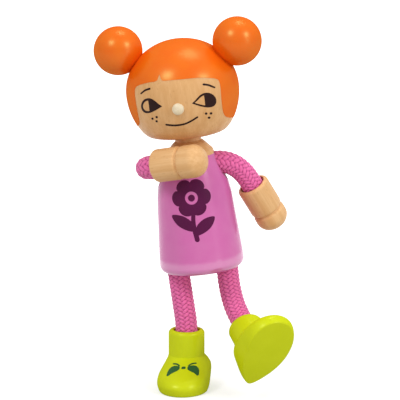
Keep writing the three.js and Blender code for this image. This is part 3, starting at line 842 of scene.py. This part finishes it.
collar = smooth_curve([
    (COLLAR_RADIUS, COLLAR_HEIGHT),
    (COLLAR_RADIUS - 0.25 * rise, COLLAR_HEIGHT + 0.25 * rise),
    (NECK_RADIUS + 0.75, NECK_FOOT - 0.25 * rise),
    (NECK_RADIUS, NECK_FOOT),
], steps=5)
neck_top = HEAD_SEAT - NECK_GAP
body_profile = [
    *underside, *hem, *cone, *shoulder, *collar[1:], (NECK_RADIUS, neck_top), (0, neck_top),
]
side_profile = [q for q in body_profile if q[0] > 1]


def body_radius(height):
    radii, heights = zip(*side_profile)
    return float(np.interp(height, heights, radii))


print("body: widest", HEM_RADIUS, "mm, at the chest", round(body_radius(25), 1), "mm")

# %% Body
NECKLINE = 29.5  # height at which the lacquer ends
LACQUER_STEP = 0.06
LACQUER_EDGE = 0.02  # height over which it thins out at the neckline
NECKLINE_ROOM = 0.05  # other rings of the profile keep this far off


def dressed(profile):
    """The profile with the lacquer's thickness added up to the neckline."""
    low = [q for q in profile if q[1] < NECKLINE - NECKLINE_ROOM]
    high = [q for q in profile if q[1] > NECKLINE + NECKLINE_ROOM]
    radius = body_radius(NECKLINE)
    edge = [(radius + LACQUER_STEP, NECKLINE - LACQUER_EDGE), (radius, NECKLINE)]
    thick = [(r + LACQUER_STEP * min(r, 1), h) for r, h in low]
    return thick + edge + high, len(thick) + 1


body_rows, painted_rows = dressed(body_profile)
points, faces, band_of = lathe(body_rows, FINE_SIDES)
body = new_piece("body_and_dress", points, faces, [PINK, WOOD], BODY_FRAME, "torso",
                 finish_of=[int(band >= painted_rows) for band in band_of],
                 grain=True)
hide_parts("torso")
print("body:", len(faces), "faces before drilling")

# %% [markdown]
# ## The cord holes
# The holes for the arms and legs are drilled after turning, and their mouths are eased so
# that they don't cut the cord. The Boolean modifier does the same here: it takes a
# turned drill away from the body. Faces laid by hand round a hole in a cone would be slow.

# %% Drill the cord holes
CORD_RADIUS = 2.8  # over the crowns of the strands
CORD_HOLE = 3.25
HOLE_EASE = 1.2
HOLE_MOUTH = [(0, -0.75), (0.12, -0.45), (0.4, -0.15)]  # wider by, where in the ease
DRILL_FLARE, DRILL_RISE = 3.0, 3.3  # how far the drill widens and stands out of the wood
DRILL_SIDES = 64
ARM_HOLE_HEIGHT, ARM_HOLE_DEPTH = 26.9, 4.5
LEG_HOLE_SPREAD, LEG_HOLE_DEPTH = 6.15, 8


def drill(piece, start, direction, depth):
    """Drills a cord hole with an eased mouth, from a point of the surface inwards."""
    points, faces, _ = lathe([
        (0, -depth), (CORD_HOLE, -depth),
        *[(CORD_HOLE + wider, HOLE_EASE * share) for wider, share in HOLE_MOUTH],
        (CORD_HOLE + DRILL_FLARE, DRILL_RISE), (0, DRILL_RISE),
    ], DRILL_SIDES)
    cutter = add_object("drill", new_mesh("drill", points, faces))
    cutter.data.materials.append(piece.data.materials[0])
    turn = Vector((0, 0, 1)).rotation_difference(direction).to_matrix().to_4x4()
    cutter.matrix_world = BODY_FRAME @ Matrix.Translation(start * MM) @ turn
    modifier = piece.modifiers.new("drill", "BOOLEAN")
    modifier.object, modifier.operation, modifier.solver = cutter, "DIFFERENCE", "EXACT"
    bpy.context.view_layer.update()
    evaluated = piece.evaluated_get(bpy.context.evaluated_depsgraph_get())
    carved = bpy.data.meshes.new_from_object(evaluated)
    piece.modifiers.clear()
    piece.data = carved
    bpy.data.objects.remove(cutter)


arm_exit = body_radius(ARM_HOLE_HEIGHT)
leg_exit = underside_height(LEG_HOLE_SPREAD)
for side in (-1, 1):
    drill(body, Vector((side * arm_exit, 0, ARM_HOLE_HEIGHT)), Vector((side, 0, 0)),
          ARM_HOLE_DEPTH)
    drill(body, Vector((side * LEG_HOLE_SPREAD, 0, leg_exit)), Vector((0, 0, -1)),
          LEG_HOLE_DEPTH)
body.data.set_sharp_from_angle(angle=SMOOTH_LIMIT)
print("drilled body:", len(body.data.polygons), "faces")

# %% [markdown]
# ## The print on the dress
# The dress carries one dark plum print: a plain round flower on a stem with two leaves.
# It is printed from the front like the face, with the same skin of ink.

# %% Flower print
FLOWER_X, FLOWER_HEIGHT = -0.6, 20.2
FLOWER_RADIUS = 4.8
PETALS = 6
PETAL_NOTCH = 0.22  # depth between two petals, as a share of the radius
PETAL_BLUNTNESS = 0.6
LEAF = [(0, 0), (0.3, 0.45), (0.7, 0.42), (1, 0), (0.68, -0.34), (0.3, -0.3)]
LEAF_LEAN = math.radians(38)
SLOPE_STEP = 0.1


def on_dress(x, height):
    radius = body_radius(height) + LACQUER_STEP
    y = -math.sqrt(max(radius**2 - x**2, RIM_LIMIT))
    wider = body_radius(height + SLOPE_STEP) - body_radius(height - SLOPE_STEP)
    slope = wider / (2 * SLOPE_STEP)
    return Vector((x, y, height)), Vector((x / radius, y / radius, -slope)).normalized()


def flower(x, height, radius):
    outline = []
    for a in turns(16 * PETALS):
        petal = abs(math.cos(PETALS * a / 2)) ** PETAL_BLUNTNESS
        reach = radius * (1 - PETAL_NOTCH + PETAL_NOTCH * petal)
        outline.append((x + reach * math.cos(a), height + reach * math.sin(a)))
    return outline


def leaf(x, height, side, length, width):
    """A pointed leaf that leans out to one side and up."""
    along, across = math.cos(LEAF_LEAN), math.sin(LEAF_LEAN)
    turned = [
        (a * length * along - b * width * across, a * length * across + b * width * along)
        for a, b in LEAF
    ]
    outline = smooth_curve([(x + side * a, height + b) for a, b in turned], steps=5,
                           closed=True)
    return outline if side > 0 else outline[::-1]


STEM = [(FLOWER_X, FLOWER_HEIGHT - 4.1), (FLOWER_X - 0.2, 13.5), (FLOWER_X + 0.3, 9.8)]
PRINTS = {
    "print_flower": [flower(FLOWER_X, FLOWER_HEIGHT, FLOWER_RADIUS),
                     dot(FLOWER_X, FLOWER_HEIGHT, 1.6, 32)],
    "print_flower_middle": [dot(FLOWER_X, FLOWER_HEIGHT, 0.85, 24)],
    "print_stem": [stroke(STEM, 1.0, 1.2)],
    "print_right_leaf": [leaf(FLOWER_X - 0.1, 12.0, -1, 6.6, 3.4)],
    "print_left_leaf": [leaf(FLOWER_X + 0.1, 10.9, 1, 6.4, 3.4)],
}
for name, loops in PRINTS.items():
    paint_skin(name, loops, on_dress, PLUM_INK, BODY_FRAME, "torso",
               spacing=0.6)
print("dress print:", len(PRINTS), "shapes")

# %% [markdown]
# ## Braided cord
# Arms and legs are tubular braid: twenty-four strands of polyester yarn, half turning each
# way, each passing over two and under two, which gives a herringbone. The yarn is matt,
# with a soft sheen where its threads catch the light, and its colour is painted darker in
# the gaps between strands, as painted shade. The braid could be a bump in the material,
# but a near view and the outline need real relief, so the surface itself goes up and
# down, and its height also sets that painted shade.
# One cord crosses four joints, so it is made of four pieces, one to each joint. The cuts
# lie halfway between the joints and the pattern runs on across them.

# %% Cord material
THREADS = 5  # ridges across a strand, 0.17 mm each: real filaments are too fine to show
THREAD_HEIGHT, FUZZ_HEIGHT = 0.04, 0.03  # mm
LIGHT_THREAD, DARK_THREAD = "#EE7FB6", "#B93378"


def yarn(name, crown, gap_shade):
    material, tree = new_material(name, Roughness=0.85, Specular_IOR_Level=0.2,
                                  Sheen_Weight=0.25, Sheen_Roughness=0.5)
    height = add_node(tree, "ShaderNodeAttribute", attribute_name="braid_height")
    uv = add_node(tree, "ShaderNodeUVMap", uv_map="yarn").outputs["UV"]
    across = add_node(tree, "ShaderNodeSeparateXYZ", {"Vector": uv}).outputs["X"]
    waves = add_node(tree, "ShaderNodeMath", {0: across, 1: THREADS * math.pi},
                     operation="MULTIPLY")
    threads = add_node(tree, "ShaderNodeMath", {0: waves.outputs[0]},
                       operation="COSINE").outputs[0]
    fuzz = add_node(tree, "ShaderNodeTexNoise", {
        "Vector": uv, "Scale": 3.0, "Detail": 3.0}).outputs["Fac"]
    # painted shade: the colour falls from the crown's to the darker gap colour where the braid
    # is low
    tone, _ = washes(tree, colour(gap_shade), [
        (height.outputs["Fac"], 0.3, 0.85, 1.0, crown),
        (threads, -1, 1, 0.18, LIGHT_THREAD),
        (fuzz, 0.35, 0.7, 0.15, DARK_THREAD),
    ])
    into_shader(tree, "Base Color", tone)
    ridged = add_node(tree, "ShaderNodeBump", {
        "Height": threads, "Strength": 0.4, "Distance": THREAD_HEIGHT * MM})
    fuzzy = add_node(tree, "ShaderNodeBump", {
        "Height": fuzz, "Normal": ridged.outputs["Normal"], "Strength": 0.3,
        "Distance": FUZZ_HEIGHT * MM})
    into_shader(tree, "Normal", fuzzy.outputs["Normal"])
    return material


# the second colour is the painted shade in the gaps between strands
YARN = yarn("braided_polyester_yarn", "#FC77B7", "#A42668")
print("cord material:", YARN.name)

# %% The braid's relief
STRANDS = 12  # in each of the two directions
STRAND_LEAN = 1.35  # how much further a strand goes round than along
STRAND_SPACING = 2 * math.pi * CORD_RADIUS / STRANDS
BRAID_PITCH = STRAND_SPACING / STRAND_LEAN
BRAID_RELIEF = 0.36
OVER_SHARE = 0.4  # of the relief is strands passing over others, the rest is their round
ROUNDNESS = 0.98  # at 1 a strand would be a half circle and end in a vertical wall


def braid(turn, along):
    """Relief from 0 to 1, and the place across the strand on top, from -1 to 1."""
    round_share, climb = STRANDS * turn / (2 * math.pi), along / BRAID_PITCH
    a, b = round_share - climb, round_share + climb
    strand_a, strand_b = np.round(a), np.round(b)
    across_a, across_b = 2 * (a - strand_a), 2 * (b - strand_b)
    over_a = np.cos(math.pi / 2 * (b + strand_a) - math.pi / 4)
    over_b = -np.cos(math.pi / 2 * (a + strand_b) - math.pi / 4)
    height_a, height_b = (
        OVER_SHARE * over + (1 - OVER_SHARE) * np.sqrt(1 - ROUNDNESS * across**2)
        for over, across in ((over_a, across_a), (over_b, across_b))
    )
    across = np.where(height_a > height_b, across_a, across_b)
    return np.clip(np.maximum(height_a, height_b), 0, 1), across


print("strand spacing, mm:", round(STRAND_SPACING, 2))

# %% The cords' centre lines
RING_STEP = 0.15

# A limb's names, and in mm how far it goes past its first and last joint, and the radius
# of the bore that its wire lies in.
LIMBS = {
    "arm": {"movements": ["shoulder_swing", "shoulder_lift", "elbow_bend", "wrist_bend"],
            "parts": ["shoulder", "upper", "elbow", "lower", "wrist"],
            "bodies": ["upper_arm", "middle_arm", "lower_arm", "hand"],
            "root": 4.6, "tip": 6.45, "bore": 0.9},
    "leg": {"movements": ["hip_swing", "hip_spread", "knee_bend", "ankle_bend"],
            "parts": ["hip", "thigh", "knee", "shin", "ankle"],
            "bodies": ["thigh", "knee", "shin", "foot"],
            "root": 8.4, "tip": 7.7, "bore": 1.95},
}


def centre_line(side, limb):
    """The joints, the cuts between them, and the points of each piece's line, in mm."""
    plan = LIMBS[limb]
    pivots = [joint_place(f"{side}_{movement}") / MM for movement in plan["movements"]]
    first, last = (node_centre(f"{side}_{limb}_wire_{plan['parts'][k]}") / MM for k in (0, 4))
    out = (pivots[0] - first).normalized()
    end = (last - pivots[3]).normalized()
    half = (pivots[1] - pivots[0]).length / 2
    cuts = [pivots[0] - out * half]
    cuts += [(a + b) / 2 for a, b in zip(pivots, pivots[1:])]
    cuts += [pivots[3] + end * half]
    sections = []
    shares = np.linspace(0, 1, math.ceil(2 * half / RING_STEP) + 1).tolist()
    for a, pivot, b in zip(cuts, pivots, cuts[1:]):
        sections.append([(1 - t)**2 * a + 2 * t * (1 - t) * pivot + t * t * b for t in shares])
    root, tip = pivots[0] - out * plan["root"], pivots[3] + end * plan["tip"]
    count = math.ceil((cuts[0] - root).length / RING_STEP)
    sections[0] = [root.lerp(cuts[0], k / count) for k in range(count)] + sections[0]
    count = math.ceil((tip - cuts[4]).length / RING_STEP)
    sections[3] += [cuts[4].lerp(tip, k / count) for k in range(1, count + 1)]
    return pivots, cuts, sections


def ring_places(sections):
    """For each ring its centre, two directions across, and how far along the cord it is.
    The directions are carried from ring to ring, so that the braid doesn't twist."""
    along, previous = 0.0, sections[0][0]
    right = (sections[0][1] - previous).normalized().orthogonal().normalized()
    placed = []
    for section in sections:
        rings = []
        for k, point in enumerate(section):
            ahead = section[min(k + 1, len(section) - 1)] - section[max(k - 1, 0)]
            forward = ahead.normalized()
            right = (right - forward * right.dot(forward)).normalized()
            along += (point - previous).length
            previous = point
            rings.append((np.array(point), np.array(right), np.array(forward.cross(right)),
                          along))
        placed.append(rings)
    return placed


print("rings in the right leg:", sum(len(s) for s in centre_line("right", "leg")[2]))

# %% Cord pieces
AROUND = 96  # points round a ring
RING_ANGLES = np.arange(AROUND) * 2 * math.pi / AROUND
BORE_EVERY = 6  # the bore is plain, so it needs fewer rings


def ring_points(place, radius):
    """Points round the centre line. The radius is one number, or one for each point."""
    centre, x, y, _ = place
    around = np.cos(RING_ANGLES)[:, None] * x + np.sin(RING_ANGLES)[:, None] * y
    return (centre + np.reshape(radius, (-1, 1)) * around).tolist()


def lay_yarn(mesh, relief, across, lengths):
    """Stores the height in the braid, and the place across and along the strand."""
    plain = np.zeros(len(mesh.vertices) - relief.size)  # the bore has no strands
    heights = np.concatenate([relief.ravel(), plain]).astype(np.float32)
    mesh.attributes.new("braid_height", "FLOAT", "POINT").data.foreach_set("value", heights)
    layer = mesh.uv_layers.new(name="yarn")
    corner = np.zeros(len(mesh.loops), int)
    mesh.loops.foreach_get("vertex_index", corner)
    u = np.concatenate([across.ravel(), plain])[corner]
    v = np.concatenate([np.repeat(lengths, AROUND), plain])[corner]
    layer.data.foreach_set("uv", np.stack([u, v], 1).astype(np.float32).ravel())


def make_limb(side, limb):
    """Lays a cord's four pieces, each bending at its joint, and returns its length."""
    plan = LIMBS[limb]
    pivots, cuts, sections = centre_line(side, limb)
    for index, places in enumerate(ring_places(sections)):
        lengths = [place[3] for place in places]
        relief, across = braid(RING_ANGLES[None, :], np.array(lengths)[:, None])
        radius = CORD_RADIUS - BRAID_RELIEF * (1 - relief)
        outer = [ring_points(place, r) for place, r in zip(places, radius)]
        back = sorted({*range(0, len(places), BORE_EVERY), len(places) - 1}, reverse=True)
        bore = [ring_points(places[k], plan["bore"]) for k in back]
        points, faces, _ = stack(outer + bore, closed=True)
        piece = new_piece(f"{side}_{limb}_braid_{index + 1}", points, faces, [YARN],
                          Matrix.Identity(4), None)
        lay_yarn(piece.data, relief, across, lengths)
        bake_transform(piece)
        nodes = [f"{side}_{limb}_cord_{plan['parts'][index + 1]}"]
        if index == 0:
            nodes.append(f"{side}_{limb}_cord_{plan['parts'][0]}")
        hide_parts(*nodes)
    return lengths[-1]


for side in ("right", "left"):
    for limb in LIMBS:
        print(side, limb, "cord length, mm:", round(make_limb(side, limb), 1))

# %% [markdown]
# ## Hands
# Each hand is one turned mitten: a bored cuff, a groove at the wrist and a round tip.
# Its profile goes from the floor of the bore out over the cuff's rim and round the tip.
# The groove is in the turned outline, because a bump would leave the edge straight.

# %% Hands
HANDS = {  # mm: length, from the cuff to the groove, and from the last joint to the cuff
    "right": (14.1, 7.4, 1.9),
    "left": (13.7, 8.2, 1.25),
}
HAND_RADIUS = 4.1
HAND_RIM = 0.8
HAND_DOME = 3.3  # the tip is flatter than a half ball
HAND_BORE = 5.5
HAND_SIDES = 96
GROOVE_WIDTH, GROOVE_DEPTH = 1.3, 0.55
GROOVE = [(0, -0.75), (0.2, -0.4), (1, 0), (0.2, 0.4), (0, 0.85)]  # shares in and along


def hand_profile(length, groove_place):
    groove = smooth_curve([
        (HAND_RADIUS - GROOVE_DEPTH * inwards, groove_place + GROOVE_WIDTH * along)
        for inwards, along in GROOVE
    ], steps=4)
    return [
        (0, HAND_BORE), (CORD_HOLE, HAND_BORE),
        (CORD_HOLE, (HAND_RADIUS - CORD_HOLE - HAND_RIM) / 2),
        *arc((HAND_RADIUS - HAND_RIM, HAND_RIM), HAND_RIM, HAND_RIM, -90, 0, 8), *groove,
        *arc((0, length - HAND_DOME), HAND_RADIUS, HAND_DOME, 0, 90, 24),
    ]


for side, (length, groove_place, reach) in HANDS.items():
    wrist = joint_place(f"{side}_wrist_bend")
    ahead = (node_centre(f"{side}_arm_wire_wrist") - wrist).normalized()
    place = frame_at(wrist + ahead * reach * MM, ahead, FRONT)
    points, faces, _ = lathe(hand_profile(length, groove_place), HAND_SIDES)
    hand = new_piece(f"{side}_mitten", points, faces, [WOOD], place, f"{side}_hand",
                     grain=True)
    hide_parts(f"{side}_hand")
print("hands: two mittens of", len(faces), "faces")

# %% [markdown]
# ## Shoes
# A shoe is a carved foot under a turned collar. The foot is a stack of outlines, round at
# the toe and drawn to a corner at the heel, and the levels between them follow a smooth
# curve. It could be sculpted from a block, but outlines keep the sole flat and let both
# shoes come from one table. The collar and its bore are plain rings on the same stack.

# %% The shoe's rings
SHOE_HEIGHT = 14.4
COLLAR_OUTER = 4.55
COLLAR_FOOT = 7.9
COLLAR_RIM = 1.0
SHOE_BORE = 6.6
SHOE_LEVELS = [  # height, then the reach to toe, heel, inner and outer side
    (0.0, 12.95, 6.5, 6.05, 5.95), (0.87, 13.3, 6.6, 6.25, 6.3),
    (2.29, 13.4, 6.65, 6.45, 6.55), (3.79, 12.2, 6.6, 6.6, 6.35),
    (4.98, 9.92, 6.4, 6.6, 5.85), (6.0, 7.7, 6.05, 6.3, 5.3),
    (7.03, 5.87, 5.3, 5.5, 4.8), (COLLAR_FOOT, 4.55, 4.55, 4.55, 4.55),
]
SOLE_EDGE = [(0.0, 0.25), (0.04, 0.07)]  # height, and how far inside the lowest level
HEEL_LEAN = 2.4
HEEL_POINT = 0.35  # how much sharper than round the heel is
BALL_SHARE = 0.9  # how far forward the widest place is, times toe less heel
LONGEST = SHOE_LEVELS[2][1] - SHOE_LEVELS[2][2]  # toe less heel where the toe is longest
RIM_EASE, BORE_EASE = 0.06, 0.1  # how far the collar's inner edge drops
SHOE_SIDES = 120


def foot_ring(level, side):
    height, toe, heel, inner, outer = level
    ball = BALL_SHARE * (toe - heel)
    lean = HEEL_LEAN * (toe - heel) / LONGEST
    ring = []
    for a in turns(SHOE_SIDES):
        forward, inwards = math.cos(a), math.sin(a)
        behind = max(-forward, 0)
        reach = ball + forward * (toe - ball if forward > 0 else heel + ball)
        across = inwards * (inner if inwards > 0 else outer) * (1 - HEEL_POINT * behind**4)
        across += lean * behind**2
        ring.append((side * across, -reach, height))
    return ring


def middle_of(ring):
    """One point in the middle of a ring, which closes the stack there."""
    return [(*(sum(p[k] for p in ring) / len(ring) for k in (0, 1)), ring[0][2])]


def shoe_rings(side):
    sole_edge = [(height, *(q - inset for q in SHOE_LEVELS[0][1:]))
                 for height, inset in SOLE_EDGE]
    levels = sole_edge + smooth_curve(SHOE_LEVELS, steps=6)[1:]
    rim_inner = (COLLAR_OUTER - COLLAR_RIM + CORD_HOLE) / 2
    upper = [
        (COLLAR_OUTER, COLLAR_FOOT + 0.5), (COLLAR_OUTER, SHOE_HEIGHT - 3 * COLLAR_RIM),
        *arc((COLLAR_OUTER - COLLAR_RIM, SHOE_HEIGHT - COLLAR_RIM), COLLAR_RIM,
             COLLAR_RIM, 0, 90, 8),
        (rim_inner, SHOE_HEIGHT - RIM_EASE),
        (CORD_HOLE, SHOE_HEIGHT - rim_inner + CORD_HOLE - BORE_EASE),
        (CORD_HOLE, SHOE_HEIGHT - SHOE_BORE),
    ]
    levels += [(height, r, r, r, r) for r, height in upper]
    rings = [foot_ring(level, side) for level in levels]
    return [middle_of(rings[0]), *rings, middle_of(rings[-1])]


print("a shoe is", len(shoe_rings(1)), "rings")

# %% Where a shoe is
SHOE_REACH = 1.4  # from the last joint to the collar's rim


def shoe_frame(side):
    """The shoe's own frame: on its sole under the collar, with the toe towards -Y."""
    ankle = joint_place(f"{side}_ankle_bend")
    ahead = (node_centre(f"{side}_leg_wire_ankle") - ankle).normalized()
    sole = ankle + ahead * (SHOE_REACH + SHOE_HEIGHT) * MM
    corners = [v.co for v in frame["nodes"][f"{side}_shoe"].data.vertices]
    reach = [(c - sole) - ahead * (c - sole).dot(ahead) for c in corners]
    return frame_at(sole, -ahead, max(reach, key=lambda r: r.length))


print("the raised shoe's sole is", round(shoe_frame("left").translation.z / MM, 1), "mm up")

# %% [markdown]
# ## Bows on the shoes
# Each shoe carries a small green bow, printed from the front and above. The drawing is
# thrown onto the shoe along that direction, and a ray finds where it lands, because the
# instep has no simple formula as the ball and the cone have.

# %% The bow's drawing
BOW_KNOT = [(-0.5, -0.35), (-0.42, 0.28), (0, 0.36), (0.42, 0.28), (0.5, -0.35), (0, -0.42)]
BOW_TAIL = [(1.0, 0.3), (1.7, 0.68), (2.6, 0.8), (3.4, 0.35), (3.9, -0.7), (4.0, -2.15),
            (3.6, -2.4), (2.8, -1.7), (1.9, -1.2), (1.1, -0.6)]
BOW_LOOP = [(1.0, 0.7), (1.7, 1.45), (2.8, 1.75), (2.95, 1.4), (2.0, 1.1), (1.2, 0.5)]
BOW = {
    "knot": BOW_KNOT,
    "right_tail": [(-a, b) for a, b in BOW_TAIL], "left_tail": BOW_TAIL,
    "right_loop": [(-a, b) for a, b in BOW_LOOP], "left_loop": BOW_LOOP,
}
BOW_TILT = math.radians(35)
BOW_PLACE = Vector((0.3, -7.7, 6.5))
BOW_SLANT = 0.09  # one end of the bow is a little higher
THROWN_FROM = 20  # mm off the shoe

into = Vector((0, math.cos(BOW_TILT), -math.sin(BOW_TILT)))
upwards = Vector((0, math.sin(BOW_TILT), math.cos(BOW_TILT)))


def thrown_on(surface):
    """A carrier for the drawing on a shoe."""
    def carrier(x, y):
        start = (BOW_PLACE + Vector((x, 0, 0)) + upwards * (y + BOW_SLANT * x)
                 - into * THROWN_FROM)
        hit, normal, _, _ = surface.ray_cast(start, into)
        return hit, normal

    return carrier


print("a bow is", len(BOW), "shapes")

# %% Shoes and their bows
for side, inner in (("right", 1), ("left", -1)):
    place = shoe_frame(side)
    points, faces, _ = stack(shoe_rings(inner))
    if inner < 0:
        faces = [tuple(reversed(f)) for f in faces]
    shoe = new_piece(f"{side}_slipper", points, faces, [LIME], place, f"{side}_foot")
    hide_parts(f"{side}_shoe")
    surface = BVHTree.FromPolygons([Vector(p) for p in points], faces)
    for part, shape in BOW.items():
        outline = smooth_curve(shape, steps=4, closed=True)
        paint_skin(f"{side}_shoe_bow_{part}", [outline], thrown_on(surface), GREEN_INK,
                   place, f"{side}_foot", spacing=0.35)
print("shoes:", len(faces), "faces each, with a printed bow")

# %% [markdown]
# ## Hidden parts
# Inside the cords runs a soft drawn steel wire: bare bright metal with fine lines along
# it from the die. Wooden dowels pin the head and buns. They could be modelled again too,
# but they stay inside in every pose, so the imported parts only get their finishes.

# %% Wire and dowels
DRAWING_LINES = (0.1, 8, 2)  # mm across, mm along, detail
DRAWING_GLOSS = (0.06, 5, 2)


def drawn_steel():
    material, tree = new_material("drawn_steel_wire", Metallic=1.0)
    tone = add_node(tree, "ShaderNodeMix", {
        0: streaks(tree, *DRAWING_LINES), 6: colour("#9FA2A6"), 7: colour("#C9CBCD"),
    }, data_type="RGBA")
    into_shader(tree, "Base Color", tone.outputs[2])
    into_shader(tree, "Roughness", add_node(tree, "ShaderNodeMapRange", {
        "Value": streaks(tree, *DRAWING_GLOSS), "From Min": 0.3, "From Max": 0.7,
        "To Min": 0.25, "To Max": 0.45,
    }, interpolation_type="SMOOTHSTEP").outputs["Result"])
    return material


STEEL = drawn_steel()
for name, node in frame["nodes"].items():
    finish, slot = WOOD, "bare_wood"
    if "_wire_" in name:
        finish, slot = STEEL, "steel_wire"
    elif "_cord_" in name:
        finish, slot = YARN, "braided_cord"
    node.data.materials.clear()
    node.data.materials.append(finish)
print("wires and dowels finished")

# %% [markdown]
# ## Floor and light
# The doll was photographed on plain white. A wide floor takes its shadow. More light would
# turn it white but would bleach the doll too, so the floor glows only for what is seen,
# straight, in a mirror or through glass, and adds no light. Near the doll it glows less,
# which leaves the shadow.

# %% Floor
FLOOR_HALF = 4000  # mm
GLOW_FROM, GLOW_TO = 0.04, 0.12  # m from the middle: where it rises, and is full
GLOW_LOW = 0.58


def seen_rays(tree):
    """1 for what is seen, straight, mirrored or through glass, and 0 for what lights."""
    path = add_node(tree, "ShaderNodeLightPath").outputs
    seen = path["Is Camera Ray"]
    for kind in ("Is Glossy Ray", "Is Transmission Ray"):
        seen = add_node(tree, "ShaderNodeMath", {0: seen, 1: path[kind]},
                        operation="MAXIMUM").outputs[0]
    return seen


corners = [(x * FLOOR_HALF, y * FLOOR_HALF, 0) for x, y in ((-1, -1), (1, -1), (1, 1), (-1, 1))]
floor = add_object("floor", new_mesh("floor", corners, [(0, 1, 2, 3)]))
paper, tree = new_material("white_paper", Roughness=0.9, Specular_IOR_Level=0.0,
                           Base_Color=colour("#C4C4C4"), Emission_Color=colour("#FFFFFF"))
place = add_node(tree, "ShaderNodeTexCoord").outputs["Object"]
away = add_node(tree, "ShaderNodeVectorMath", {0: place}, operation="LENGTH")
glow = add_node(tree, "ShaderNodeMapRange", {
    "Value": away.outputs["Value"], "From Min": GLOW_FROM, "From Max": GLOW_TO,
    "To Min": GLOW_LOW,
}, interpolation_type="SMOOTHSTEP").outputs["Result"]
shown = add_node(tree, "ShaderNodeMath", {0: seen_rays(tree), 1: glow}, operation="MULTIPLY")
into_shader(tree, "Emission Strength", shown.outputs[0])
floor.data.materials.append(paper)
print("floor material:", paper.name)

# %% [markdown]
# ## Lamps
# Three soft boxes light the doll, one overhead and two in front, and give each lacquered
# ball its three soft highlights. A fourth, tall and weak, stands at the right and gives
# the dress its upright band of light. Bare bulbs would make small hard points instead.
# The world fills the shadows evenly, and is white where it is seen.

# %% Light
WORLD_LIGHT = 0.58
BOX_DISTANCE = 1.2  # m
LAMP_AIM = Vector((0, 0, 50 * MM))
SOFT_BOXES = {  # direction, width and height in m, power in W
    "overhead_box": ((0.14, 0.2, 0.97), 0.45, 0.45, 3.2),
    "left_box": ((-0.476, -0.548, 0.69), 0.32, 0.32, 4.3),
    "right_box": ((0.639, -0.518, 0.564), 0.32, 0.32, 4.2),
    "right_strip": ((0.74, -0.66, 0.12), 0.25, 0.8, 1.6),
}

world = bpy.data.worlds.new("studio")
bpy.context.scene.world = world
world.use_nodes = True
tree = world.node_tree
strength = add_node(tree, "ShaderNodeMapRange", {"Value": seen_rays(tree),
                                                 "To Min": WORLD_LIGHT})
tree.links.new(strength.outputs["Result"], tree.nodes["Background"].inputs["Strength"])
tree.nodes["Background"].inputs["Color"].default_value = (1, 1, 1, 1)

for name, (direction, wide, tall, power) in SOFT_BOXES.items():
    light = bpy.data.lights.new(name, "AREA")
    light.shape, light.size, light.size_y, light.energy = "RECTANGLE", wide, tall, power
    lamp = add_object(name, light)
    towards = Vector(direction).normalized()
    lamp.location = LAMP_AIM + towards * BOX_DISTANCE
    lamp.rotation_euler = towards.to_track_quat("Z", "Y").to_euler()

bpy.context.scene.view_settings.view_transform = "Standard"
print("lamps:", *SOFT_BOXES)
